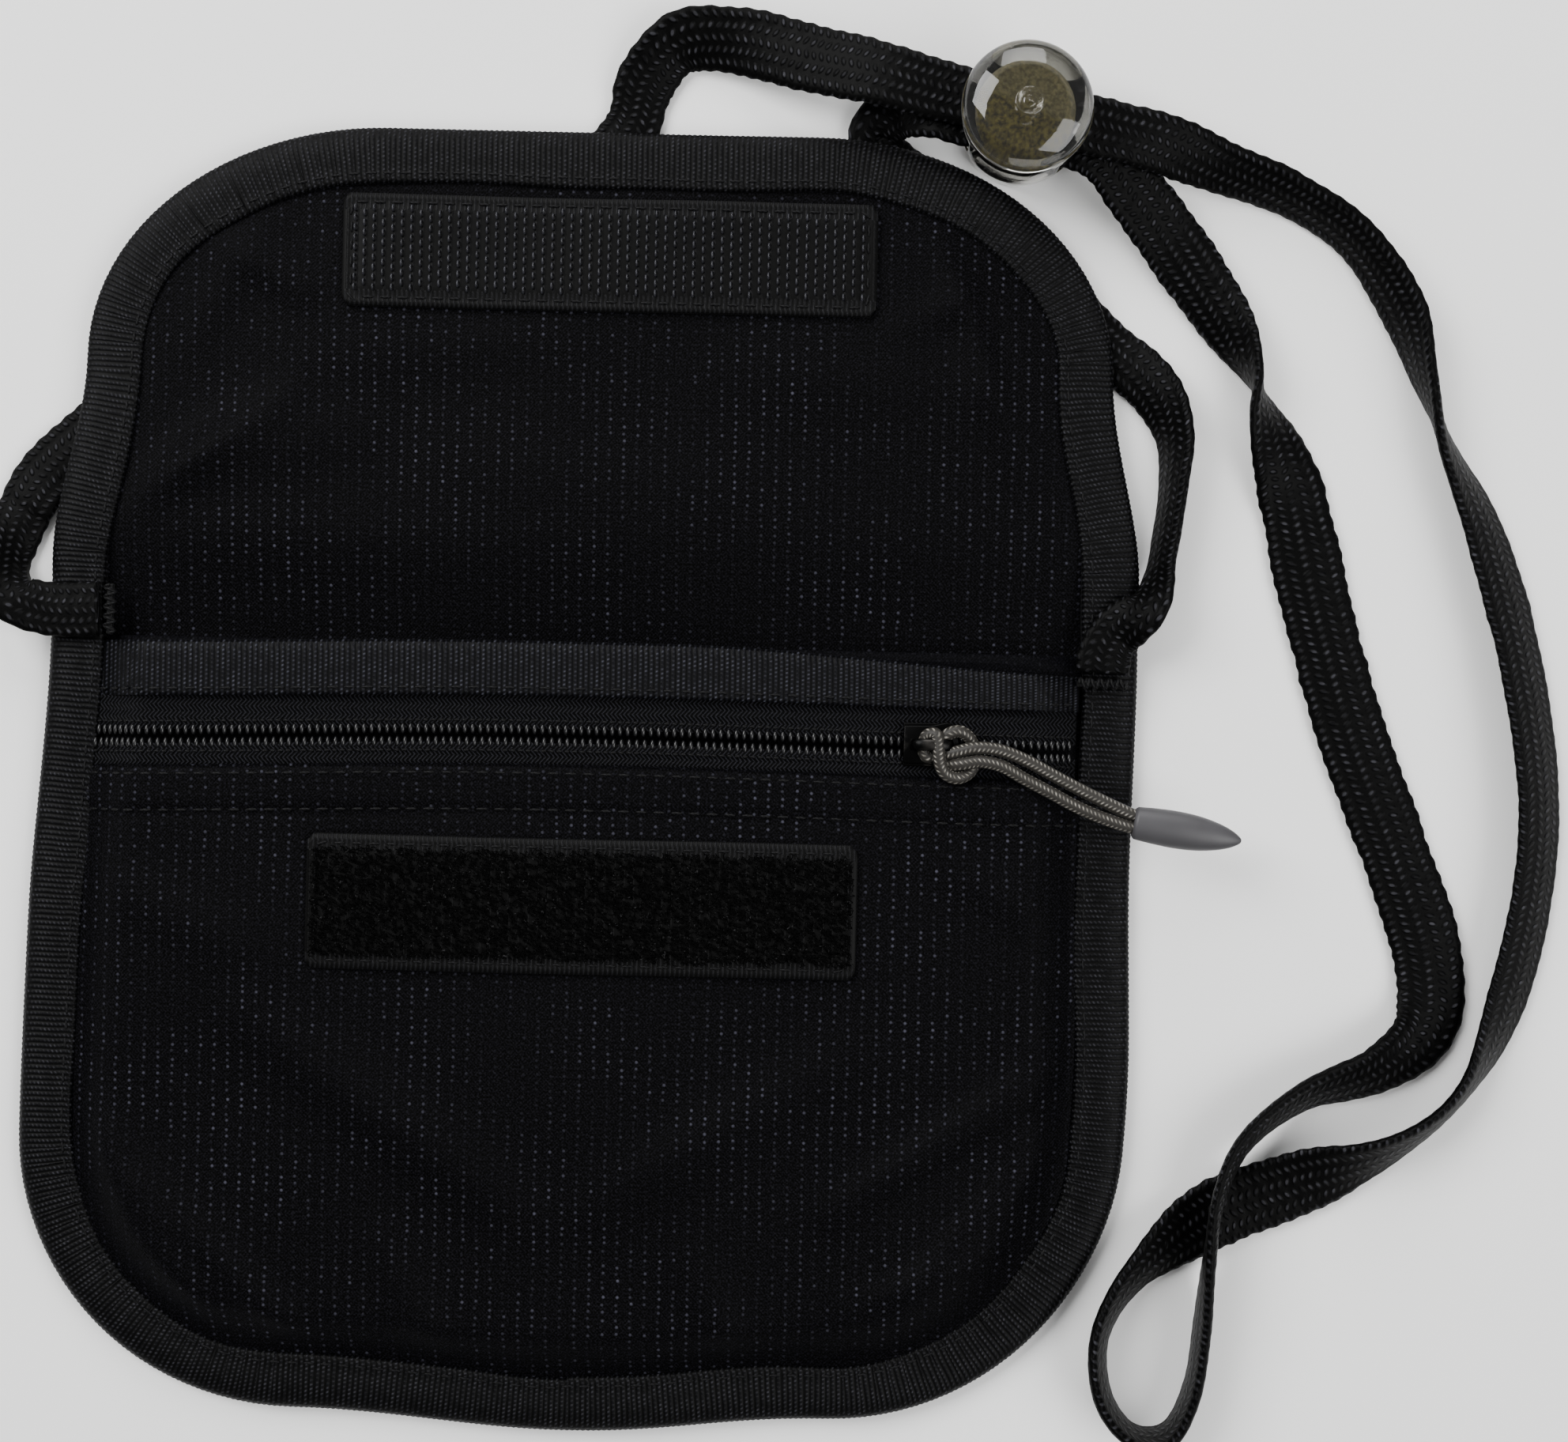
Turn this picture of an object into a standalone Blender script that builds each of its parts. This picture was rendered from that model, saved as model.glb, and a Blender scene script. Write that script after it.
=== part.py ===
"""Neck pouch wallet, lying on its back with the flap open.

A flat fabric pouch: a back panel, an inner divider and a front panel, all edged with a folded
binding tape, a zip across the front, a hook-and-loop flap hinged along the fold, and a flat
braided neck cord that runs through a push-button cord lock.

Metres, +Z up. +X is the wearer's left to right as seen from the front, +Y runs from the bottom
hem to the tip of the open flap. The origin is the middle of the pouch's outline, on the table.
"""

import math

import bmesh
import bpy
from mathutils import Matrix, Vector

# ---- driving dimensions -------------------------------------------------------------------------
GAP = 0.0003  # between pieces that touch

BODY_WIDTH = 0.160
FOLD_WIDTH = 0.1566
FLAP_WIDTH = 0.1476  # where the flap's corners start
BODY_LENGTH = 0.123  # bottom hem to fold
FLAP_LENGTH = 0.064  # fold to tip
BOTTOM_CORNER = (0.040, 0.039)  # radii across and along
BOTTOM_BOW = 0.0025
FLAP_CORNER = (0.0428, 0.0335)

BINDING_WIDTH = 0.008
BINDING_WALL = 0.0005
BINDING_EDGE = 0.0009
SHELL_CLOTH = 0.0005
LINING_CLOTH = 0.0003
FLAP_CLOTH = 0.0004
FLAP_BINDING_WALL = 0.0004
POCKET_DEPTH = 0.0044
BACK_SLOPE = 0.0035  # how far the back panel takes to rise into the binding
FRONT_SLOPE = 0.006

MOUTH_BELOW_FOLD = 0.0095
MOUTH_BAND = 0.0077
ZIP_BELOW_MOUTH = 0.0134
ZIP_END_INSET = 0.0145  # from the binding's outer edge to the end of the tapes
FRONT_BELOW_ZIP = 0.004

COIL_WIDTH = 0.0014
COIL_HEIGHT = 0.0012
COIL_SPACE = 0.0014  # between the coils, for the slider's post
TAPE_WIDTH = 0.007
TAPE_CLOTH = 0.0004

SLIDER_X = 0.050
SLIDER_LENGTH = 0.008
SLIDER_WIDTH = 0.0062
SLIDER_PLATE = 0.0005
SLIDER_CAP = 0.0006
SLIDER_POST = 0.0009
SLIDER_CLEARANCE = 0.0004
CROWN_LENGTH = 0.0064
CROWN_WIDTH = 0.0016
CROWN_BAR = 0.0006
CROWN_FOOT = 0.001

PULL_CORD = 0.0018
PULL_SQUEEZE = 0.85  # the cord is pressed flat where it passes under the crown
TIP_LENGTH = 0.0155
TIP_WIDTH = 0.0052
TIP_HEIGHT = 0.004

STRIP_THICKNESS = 0.0015
HOOK_STRIP = (0.0766, 0.016)
HOOK_FROM_FOLD = 0.0463
HOOK_X = 0.0025
LOOP_STRIP = (0.078, 0.019)
LOOP_X = 0.0008
LOOP_BELOW_FOLD = 0.047

BARTACK = (0.0012, 0.0075, 0.0016)
BARTACK_GAP = 0.001  # from the cord's slanting end

CORD_WIDTH = 0.010
CORD_THICKNESS = 0.0018
CORD_LIFT = 0.0001  # off the table

LOCK_TURN = math.radians(-12)  # the way the cord runs through the lock
LOCK_RADIUS = 0.0088
LOCK_STEP = 1.5 * (LOCK_RADIUS - 0.0088)  # a wider barrel stands further along the cord, clear of the flap
LOCK_CENTRE = (0.0609 + LOCK_STEP * math.cos(LOCK_TURN), 0.0956 + LOCK_STEP * math.sin(LOCK_TURN))
LOCK_BORE = 0.0073
LOCK_FLOOR = 0.0014
LOCK_HEIGHT = 0.013
LOCK_RUNNING_GAP = 0.0003
LOCK_WINDOW = 0.0118  # width of the cord's way through
DOME_RADIUS = 0.0092
DOME_HEIGHT = 0.0045
DOME_RIM = 0.0006
PRESS_TRAVEL = 0.0025
PRESS_SPARE = 0.0002
SPRING_RADIUS = 0.0045
SPRING_WIRE = 0.0005
SPRING_TURNS = 3
LOWER_STRAND_Z = 0.0079  # middle of the lower cord inside the lock
UPPER_STRAND_Z = 0.0100

# ---- levels and places worked out from them -----------------------------------------------------
BOTTOM_Y = -(BODY_LENGTH + FLAP_LENGTH) / 2
FOLD_Y = BOTTOM_Y + BODY_LENGTH
MOUTH_Y = FOLD_Y - MOUTH_BELOW_FOLD
ZIP_Y = MOUTH_Y - ZIP_BELOW_MOUTH

BACK_RIM_Z = BINDING_WALL + GAP
DIVIDER_RIM_Z = BACK_RIM_Z + SHELL_CLOTH + GAP
FRONT_RIM_Z = DIVIDER_RIM_Z + LINING_CLOTH + GAP
BINDING_TOP = FRONT_RIM_Z + SHELL_CLOTH + GAP + BINDING_WALL
DIVIDER_Z = SHELL_CLOTH + POCKET_DEPTH
SLIDER_FLOOR = DIVIDER_Z + LINING_CLOTH + SLIDER_CLEARANCE
COIL_Z = SLIDER_FLOOR + SLIDER_PLATE + GAP
COIL_TOP = COIL_Z + COIL_HEIGHT
TAPE_Z = COIL_Z + (COIL_HEIGHT - TAPE_CLOTH) / 2
FRONT_Z = TAPE_Z + TAPE_CLOTH + GAP
FRONT_TOP = FRONT_Z + SHELL_CLOTH
SLIDER_TOP = COIL_TOP + GAP + SLIDER_CAP
PULL_Z = SLIDER_TOP + GAP + PULL_CORD / 2 + 0.0001
CROWN_INNER_TOP = PULL_Z + PULL_CORD * PULL_SQUEEZE / 2 + GAP
CROWN_TOP = CROWN_INNER_TOP + CROWN_BAR
TIP_Z = FRONT_TOP + SLIDER_CLEARANCE + TIP_HEIGHT / 2

FLAP_UNDERSIDE = CORD_LIFT + CORD_THICKNESS + GAP
FLAP_Z = FLAP_UNDERSIDE + FLAP_BINDING_WALL + GAP
FLAP_CLOTH_TOP = FLAP_Z + FLAP_CLOTH
FLAP_TOP = FLAP_CLOTH_TOP + GAP + FLAP_BINDING_WALL
HINGE_Z = (CROWN_TOP + SLIDER_CLEARANCE + FLAP_CLOTH_TOP) / 2  # the closed flap clears the crown

STEM_BASE = LOCK_FLOOR + GAP + SPRING_WIRE * (SPRING_TURNS + 2) + PRESS_SPARE + GAP
WINDOW_LOW = LOWER_STRAND_Z - CORD_THICKNESS / 2 - GAP
WINDOW_HIGH = UPPER_STRAND_Z + CORD_THICKNESS / 2 + GAP
DOME_UNDERSIDE = LOCK_HEIGHT + PRESS_TRAVEL + PRESS_SPARE

# ---- the neck cord's route ----------------------------------------------------------------------
# In millimetres: x, y, height of what it lies on, lean from flat in degrees, share of full width.
CORD_ROUTE = [
    (-69.6, 23.4, 3.8, 0, 0.78),
    (-76.5, 23.2, 3.9, 5, 0.78),
    (-81.6, 25.0, 3.6, 30, 0.78),
    (-83.4, 30.4, 0.3, 48, 0.80),
    (-81.6, 37.4, 0.0, 0, 0.80),
    (-77.0, 44.0, 0.0, 0, 0.90),
    (-66.0, 52.6, 0.0, 0, 1.00),
    (-44.0, 67.0, 0.0, 0, 1.00),
    (-20.0, 79.0, 0.0, 0, 1.00),
    (-3.0, 86.6, 0.0, 0, 0.95),
    (4.6, 94.0, 0.0, 0, 0.80),
    (7.0, 101.4, 0.0, 12, 0.85),
    (12.0, 106.8, 0.2, 30, 0.90),
    (20.5, 107.0, 1.6, 16, 0.95),
    (31.0, 104.0, 5.2, 4, 0.95),
    (40.5, 101.4, 8.8, 0, 0.90),
    (49.5, 99.0, 9.1, 0, 0.86),
    (60.7, 96.6, 9.1, 0, 0.86),
    (71.9, 94.3, 9.1, 0, 0.86),
    (80.5, 92.6, 7.2, 12, 0.85),
    (90.0, 90.0, 2.6, 35, 0.80),
    (100.0, 86.8, 0.2, 52, 0.80),
    (109.5, 80.8, 0.0, 55, 0.80),
    (116.4, 71.0, 0.0, 55, 0.85),
    (120.0, 60.5, 0.0, 80, 0.75),
    (123.4, 51.0, 0.0, 115, 0.75),
    (129.0, 39.0, 0.0, 138, 0.95),
    (134.4, 21.5, 0.0, 140, 1.00),
    (137.6, 2.0, 0.0, 138, 1.00),
    (137.0, -14.0, 0.0, 140, 0.95),
    (133.2, -30.0, 0.0, 138, 0.95),
    (127.2, -42.0, 0.0, 112, 0.90),
    (118.0, -49.8, 0.0, 122, 0.90),
    (104.0, -55.8, 0.0, 168, 1.00),
    (91.5, -61.0, 0.0, 172, 1.00),
    (81.5, -68.6, 0.0, 128, 0.90),
    (76.4, -77.2, 0.0, 110, 0.95),
    (76.8, -86.0, 0.0, 104, 0.95),
    (81.0, -91.6, 0.0, 96, 0.95),
    (86.4, -91.4, 0.0, 92, 0.95),
    (89.6, -85.0, 0.0, 90, 0.95),
    (90.8, -76.0, 0.3, 90, 0.95),
    (91.4, -66.0, 2.2, 84, 0.90),
    (92.6, -57.0, 2.4, 74, 0.85),
    (96.4, -49.0, 1.8, 66, 0.85),
    (105.0, -42.6, 0.0, 56, 0.90),
    (115.6, -38.6, 0.0, 36, 0.95),
    (122.6, -32.4, 0.0, 12, 1.00),
    (122.8, -22.0, 0.0, 0, 1.00),
    (118.0, -8.0, 0.0, 0, 1.00),
    (111.0, 10.0, 0.0, 0, 1.00),
    (105.6, 28.0, 0.0, 0, 1.00),
    (101.6, 44.0, 0.0, 4, 1.00),
    (97.0, 55.0, 0.0, 50, 0.85),
    (95.2, 61.0, 0.0, 100, 0.75),
    (91.6, 68.0, 0.0, 146, 0.85),
    (84.6, 78.0, 1.2, 172, 0.95),
    (78.0, 85.6, 4.6, 180, 0.90),
    (71.5, 91.8, 7.0, 180, 0.86),
    (60.4, 94.4, 7.0, 180, 0.86),
    (49.2, 96.9, 7.0, 180, 0.86),
    (43.6, 97.4, 2.9, 180, 0.80),
    (40.0, 94.6, 0.8, 180, 0.75),
    (43.0, 90.4, 0.0, 180, 0.75),
    (52.0, 83.4, 0.0, 180, 0.90),
    (64.0, 73.6, 0.0, 180, 0.90),
    (74.6, 64.6, 0.0, 180, 0.80),
    (81.2, 58.6, 0.0, 205, 0.80),
    (84.2, 52.0, 0.0, 236, 0.80),
    (84.2, 45.0, 0.0, 250, 0.80),
    (83.4, 38.0, 0.0, 252, 0.80),
    (82.2, 31.6, 1.0, 250, 0.78),
    (80.2, 26.8, 4.2, 220, 0.75),
    (76.6, 23.4, 3.8, 184, 0.75),
    (74.9, 20.6, 3.8, 180, 0.75),
    (74.5, 17.4, 3.8, 180, 0.75),
]
PULL_LEG_UPPER = [  # x, y, height above the crown's own cord, in millimetres, tip to crown
    (78.4, -2.5, 0.6),
    (74.3, -0.8, 0.5),
    (70.0, 1.4, 0.4),
    (65.8, 3.6, 0.3),
    (61.4, 5.8, 0.1),
    (57.2, 7.3, 0.0),
    (53.4, 8.7, 0.0),
]
PULL_LEG_LOWER = [
    (78.1, -4.8, 0.6),
    (74.0, -3.4, 0.5),
    (69.4, -1.2, 0.4),
    (65.0, 1.1, 0.3),
    (60.8, 3.4, 0.1),
    (56.8, 4.5, 0.0),
    (53.4, 4.5, 0.0),
]
TIP_START = (0.0788, -0.0037)
TIP_TURN = math.radians(-8.5)


# ---- helpers ------------------------------------------------------------------------------------
def material(name, color, roughness, metallic=0.0, alpha=1.0):
    mat = bpy.data.materials.new(name)
    mat.use_nodes = True
    shader = mat.node_tree.nodes["Principled BSDF"]
    shader.inputs["Base Color"].default_value = (*color, 1.0)
    shader.inputs["Roughness"].default_value = roughness
    shader.inputs["Metallic"].default_value = metallic
    shader.inputs["Alpha"].default_value = alpha
    return mat


def joint_empty(name, place):
    empty = bpy.data.objects.new(name, None)
    empty.location = place
    bpy.context.collection.objects.link(empty)
    return empty


def put(name, data, mat, parent=None):
    """Add an object whose mesh or curve is drawn in place, and hang it on its joint's empty."""
    data.materials.append(mat)
    obj = bpy.data.objects.new(name, data)
    bpy.context.collection.objects.link(obj)
    if parent is not None:
        obj.parent = parent
        obj.matrix_parent_inverse = Matrix.Translation(-parent.location)
    return obj


def finish_mesh(name, bm):
    bm.normal_update()
    bmesh.ops.triangulate(bm, faces=bm.faces, ngon_method="EAR_CLIP")
    bmesh.ops.recalc_face_normals(bm, faces=bm.faces)
    mesh = bpy.data.meshes.new(name)
    bm.to_mesh(mesh)
    bm.free()
    return mesh


def arc(centre, radii, start, end, steps):
    points = []
    for i in range(steps + 1):
        a = math.radians(start + (end - start) * i / steps)
        points.append(Vector((centre[0] + radii[0] * math.cos(a), centre[1] + radii[1] * math.sin(a))))
    return points


def ease(t):
    return t * t * (3 - 2 * t)


def mirrored(half):
    """The left half of an outline, then the right half that it is the mirror of."""
    left = [Vector((-p.x, p.y)) for p in reversed(half)]
    return left[:-1] + half


def body_outline(top_y):
    """From the top left corner round the bottom to the top right."""
    corner = (BODY_WIDTH / 2 - BOTTOM_CORNER[0], BOTTOM_Y + BOTTOM_BOW + BOTTOM_CORNER[1])
    half = []
    for i in range(6):
        t = i / 6
        half.append(Vector((corner[0] * t, BOTTOM_Y + BOTTOM_BOW * (1 - math.cos(math.pi * t)) / 2)))
    half += arc(corner, BOTTOM_CORNER, -90, 0, 12)
    for i in range(1, 9):
        y = corner[1] + (top_y - corner[1]) * i / 8
        t = (y - corner[1]) / (FOLD_Y - corner[1])
        half.append(Vector((BODY_WIDTH / 2 - (BODY_WIDTH - FOLD_WIDTH) / 2 * ease(t), y)))
    return mirrored(half)


def flap_outline(low_y):
    """From the low left corner over the tip to the low right."""
    corner = (FLAP_WIDTH / 2 - FLAP_CORNER[0], FOLD_Y + FLAP_LENGTH - FLAP_CORNER[1])
    half = [Vector((corner[0] * i / 3, FOLD_Y + FLAP_LENGTH)) for i in range(3)]
    half += arc(corner, FLAP_CORNER, 90, 0, 12)
    for i in range(1, 6):
        y = corner[1] + (low_y - corner[1]) * i / 5
        t = (corner[1] - y) / (corner[1] - FOLD_Y)
        half.append(Vector(((FLAP_WIDTH + (FOLD_WIDTH - FLAP_WIDTH) * ease(t)) / 2, y)))
    return mirrored(half)


def inset(outline, distance):
    """The outline moved inwards, its two open ends kept on their own line."""
    moved = []
    middle = Vector((0, sum(p.y for p in outline) / len(outline)))
    for i, p in enumerate(outline):
        before = outline[max(i - 1, 0)]
        after = outline[min(i + 1, len(outline) - 1)]
        along = (after - before).normalized()
        normal = Vector((-along.y, along.x))
        if i in (0, len(outline) - 1):
            normal = Vector((1, 0))
        if normal.dot(middle - p) < 0:
            normal = -normal
        moved.append(p + normal * distance)
    return moved


def sweep(name, outline, profile, capped):
    """Carry a profile of (inset, height) round an open outline.

    A capped profile is a closed ring, such as a folded tape. An open one runs from the underside
    to the top of a sheet, whose two faces close it.
    """
    bm = bmesh.new()
    rings = []
    for distance, z in profile:
        rings.append([bm.verts.new((p.x, p.y, z)) for p in inset(outline, distance)])
    pairs = list(zip(rings, rings[1:]))
    if capped:
        pairs.append((rings[-1], rings[0]))
    for a, b in pairs:
        for i in range(len(outline) - 1):
            bm.faces.new((a[i], a[i + 1], b[i + 1], b[i]))
    if capped:
        bm.faces.new([ring[0] for ring in rings])
        bm.faces.new([ring[-1] for ring in rings])
    else:
        bm.faces.new(rings[0])
        bm.faces.new(rings[-1])
        bm.faces.new([ring[0] for ring in rings] + [ring[-1] for ring in reversed(rings)])
    return finish_mesh(name, bm)


def panel_profile(edge, rim_z, flat_z, cloth, slope):
    """A sheet held at its rim by the binding, which rises or falls to its flat middle."""
    start = BINDING_WIDTH + 2 * GAP
    under = [(start + slope, flat_z), (start, rim_z), (edge, rim_z)]
    over = [(edge, rim_z + cloth), (start, rim_z + cloth), (start + slope, flat_z + cloth)]
    return under + over


def tape_profile(low, high, wall):
    """A tape folded round the edge of the sheets, open towards the middle."""
    return [
        (0.0, low + wall),
        (wall, low),
        (BINDING_WIDTH, low),
        (BINDING_WIDTH, low + wall),
        (BINDING_EDGE, low + wall),
        (BINDING_EDGE, high - wall),
        (BINDING_WIDTH, high - wall),
        (BINDING_WIDTH, high),
        (wall, high),
        (0.0, high - wall),
    ]


def box(name, low, high):
    bm = bmesh.new()
    size = Vector(high) - Vector(low)
    bmesh.ops.create_cube(bm, size=1.0)
    bmesh.ops.scale(bm, vec=size, verts=bm.verts)
    bmesh.ops.translate(bm, vec=(Vector(low) + Vector(high)) / 2, verts=bm.verts)
    return finish_mesh(name, bm)


def extruded(name, points, axis, start, end):
    """A closed profile pushed from start to end along X or Y."""
    bm = bmesh.new()
    ends = []
    for at in (start, end):
        if axis == "X":
            ends.append([bm.verts.new((at, a, z)) for a, z in points])
        else:
            ends.append([bm.verts.new((a, at, z)) for a, z in points])
    count = len(points)
    for i in range(count):
        j = (i + 1) % count
        bm.faces.new((ends[0][i], ends[0][j], ends[1][j], ends[1][i]))
    bm.faces.new(ends[0])
    bm.faces.new(ends[1])
    return finish_mesh(name, bm)


def turned(name, profile, centre, steps=32):
    """Turn a closed profile of (radius, z) about the vertical through centre."""
    bm = bmesh.new()
    rings = []
    for radius, z in profile:
        if radius == 0:
            rings.append([bm.verts.new((centre[0], centre[1], z))])
            continue
        ring = []
        for i in range(steps):
            a = 2 * math.pi * i / steps
            ring.append(bm.verts.new((centre[0] + radius * math.cos(a), centre[1] + radius * math.sin(a), z)))
        rings.append(ring)
    for a, b in zip(rings, rings[1:]):
        for i in range(steps):
            j = (i + 1) % steps
            corners = [a[i % len(a)], a[j % len(a)], b[j % len(b)], b[i % len(b)]]
            unique = [v for n, v in enumerate(corners) if v not in corners[:n]]
            bm.faces.new(unique)
    return finish_mesh(name, bm)


def smooth_route(points, per_span):
    """Read points at even steps of each span from a smooth curve through the route's own points."""
    count = len(points)
    result = []
    for i in range(count - 1):
        p0 = points[max(i - 1, 0)]
        p1, p2 = points[i], points[i + 1]
        p3 = points[min(i + 2, count - 1)]
        for step in range(per_span):
            t = step / per_span
            value = []
            for a, b, c, d in zip(p0, p1, p2, p3):
                value.append(
                    0.5 * (2 * b + (c - a) * t + (2 * a - 5 * b + 4 * c - d) * t * t
                           + (3 * b - a - 3 * c + d) * t ** 3)
                )
            result.append(value)
    result.append(list(points[-1]))
    return result


def cord_curve(name, points, radius, flat_half=0.0, closed=False):
    """A tube, or a flat tape, along points of (place, tilt, scale)."""
    curve = bpy.data.curves.new(name, "CURVE")
    curve.dimensions = "3D"
    curve.twist_mode = "Z_UP"
    curve.bevel_depth = radius
    curve.bevel_resolution = 2
    curve.extrude = flat_half
    curve.use_fill_caps = not closed
    spline = curve.splines.new("POLY")
    spline.points.add(len(points) - 1)
    for point, (place, tilt, scale) in zip(spline.points, points):
        point.co = (*place, 1.0)
        point.tilt = tilt
        point.radius = scale
    spline.use_cyclic_u = closed
    return curve


# ---- start from an empty scene ------------------------------------------------------------------
for old in list(bpy.data.objects):
    bpy.data.objects.remove(old, do_unlink=True)

NYLON = material("nylon_cloth", (0.012, 0.012, 0.018), 0.75)
LINING = material("lining_cloth", (0.02, 0.02, 0.026), 0.8)
GROSGRAIN = material("grosgrain_tape", (0.016, 0.016, 0.018), 0.7)
ZIP_TAPE = material("zip_tape", (0.014, 0.014, 0.017), 0.8)
COIL = material("nylon_coil", (0.01, 0.01, 0.012), 0.4)
LOOP_PILE = material("loop_pile", (0.004, 0.004, 0.005), 0.95)
HOOK_TAPE = material("hook_tape", (0.015, 0.015, 0.02), 0.6)
BLACK_METAL = material("black_zinc", (0.03, 0.03, 0.03), 0.35, 0.9)
GREY_CORD = material("grey_cord", (0.42, 0.40, 0.37), 0.7)
GREY_RUBBER = material("grey_moulding", (0.36, 0.35, 0.36), 0.55)
BLACK_CORD = material("black_braid", (0.013, 0.013, 0.014), 0.7)
CLEAR = material("clear_plastic", (0.9, 0.9, 0.88), 0.1, 0.0, 0.4)
OLIVE = material("olive_plastic", (0.30, 0.27, 0.10), 0.4)
SPRING_STEEL = material("spring_steel", (0.6, 0.6, 0.6), 0.3, 1.0)
THREAD = material("bartack_thread", (0.012, 0.012, 0.013), 0.8)

FLAP_HINGE = joint_empty("flap_hinge", (0, FOLD_Y, HINGE_Z))
ZIP_TRAVEL = joint_empty("zip_travel", (SLIDER_X, ZIP_Y, COIL_Z))
PULL_PIVOT = joint_empty("pull_pivot", (SLIDER_X, ZIP_Y, PULL_Z))
LOCK_TRAVEL = joint_empty("lock_travel", (*LOCK_CENTRE, 0))
LOCK_PRESS = joint_empty("lock_press_axis", (*LOCK_CENTRE, DOME_UNDERSIDE))

# ---- the pouch's sheets -------------------------------------------------------------------------
edge = BINDING_EDGE + GAP
sheets = (
    ("back_panel", FOLD_Y - GAP, BACK_RIM_Z, 0.0, SHELL_CLOTH, BACK_SLOPE, NYLON),
    ("pocket_divider", MOUTH_Y, DIVIDER_RIM_Z, DIVIDER_Z, LINING_CLOTH, FRONT_SLOPE, LINING),
    ("front_panel", ZIP_Y - FRONT_BELOW_ZIP, FRONT_RIM_Z, FRONT_Z, SHELL_CLOTH, FRONT_SLOPE, NYLON),
)
for name, top_y, rim_z, flat_z, cloth, slope, mat in sheets:
    profile = panel_profile(edge, rim_z, flat_z, cloth, slope)
    put(name, sweep(name, body_outline(top_y), profile, capped=False), mat)

binding = sweep("body_binding", body_outline(FOLD_Y - GAP), tape_profile(0, BINDING_TOP, BINDING_WALL), True)
put("body_binding", binding, GROSGRAIN)

# ---- mouth band and zip -------------------------------------------------------------------------
half_zip = FOLD_WIDTH / 2 - ZIP_END_INSET
band_profile = [
    (MOUTH_Y - MOUTH_BAND, FRONT_Z),
    (MOUTH_Y - SHELL_CLOTH, FRONT_Z),
    (MOUTH_Y - SHELL_CLOTH, DIVIDER_Z + LINING_CLOTH + GAP),
    (MOUTH_Y, DIVIDER_Z + LINING_CLOTH + GAP),
    (MOUTH_Y, FRONT_TOP),
    (MOUTH_Y - MOUTH_BAND, FRONT_TOP),
]
put("mouth_band", extruded("mouth_band", band_profile, "X", -half_zip, half_zip), GROSGRAIN)

for side, sign in (("upper", 1), ("lower", -1)):
    near = COIL_SPACE / 2
    far = near + COIL_WIDTH
    low, high = sorted((ZIP_Y + sign * near, ZIP_Y + sign * far))
    chamfer = COIL_HEIGHT / 4
    coil_profile = [
        (low + chamfer, COIL_Z),
        (high - chamfer, COIL_Z),
        (high, COIL_Z + chamfer),
        (high, COIL_TOP - chamfer),
        (high - chamfer, COIL_TOP),
        (low + chamfer, COIL_TOP),
        (low, COIL_TOP - chamfer),
        (low, COIL_Z + chamfer),
    ]
    coil_name = "zip_coil_" + side
    put(coil_name, extruded(coil_name, coil_profile, "X", -half_zip, half_zip), COIL)
    low, high = sorted((ZIP_Y + sign * (far + GAP), ZIP_Y + sign * (far + GAP + TAPE_WIDTH)))
    tape_name = "zip_tape_" + side
    put(tape_name, box(tape_name, (-half_zip, low, TAPE_Z), (half_zip, high, TAPE_Z + TAPE_CLOTH)), ZIP_TAPE)

# ---- hook and loop ------------------------------------------------------------------------------
loop_y = FOLD_Y - LOOP_BELOW_FOLD
loop_low = (LOOP_X - LOOP_STRIP[0] / 2, loop_y - LOOP_STRIP[1] / 2, FRONT_TOP + GAP)
loop_high = (LOOP_X + LOOP_STRIP[0] / 2, loop_y + LOOP_STRIP[1] / 2, FRONT_TOP + GAP + STRIP_THICKNESS)
put("loop_strip", box("loop_strip", loop_low, loop_high), LOOP_PILE)

hook_y = FOLD_Y + HOOK_FROM_FOLD
hook_low = (HOOK_X - HOOK_STRIP[0] / 2, hook_y - HOOK_STRIP[1] / 2, FLAP_CLOTH_TOP + GAP)
hook_high = (HOOK_X + HOOK_STRIP[0] / 2, hook_y + HOOK_STRIP[1] / 2, FLAP_CLOTH_TOP + GAP + STRIP_THICKNESS)
put("hook_strip", box("hook_strip", hook_low, hook_high), HOOK_TAPE, FLAP_HINGE)

# ---- the flap -----------------------------------------------------------------------------------
flap_edge = [(edge, FLAP_Z), (edge, FLAP_CLOTH_TOP)]
put("flap_panel", sweep("flap_panel", flap_outline(FOLD_Y + GAP), flap_edge, False), NYLON, FLAP_HINGE)
flap_tape = tape_profile(FLAP_UNDERSIDE, FLAP_TOP, FLAP_BINDING_WALL)
put("flap_binding", sweep("flap_binding", flap_outline(FOLD_Y + GAP), flap_tape, True), GROSGRAIN, FLAP_HINGE)

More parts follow.
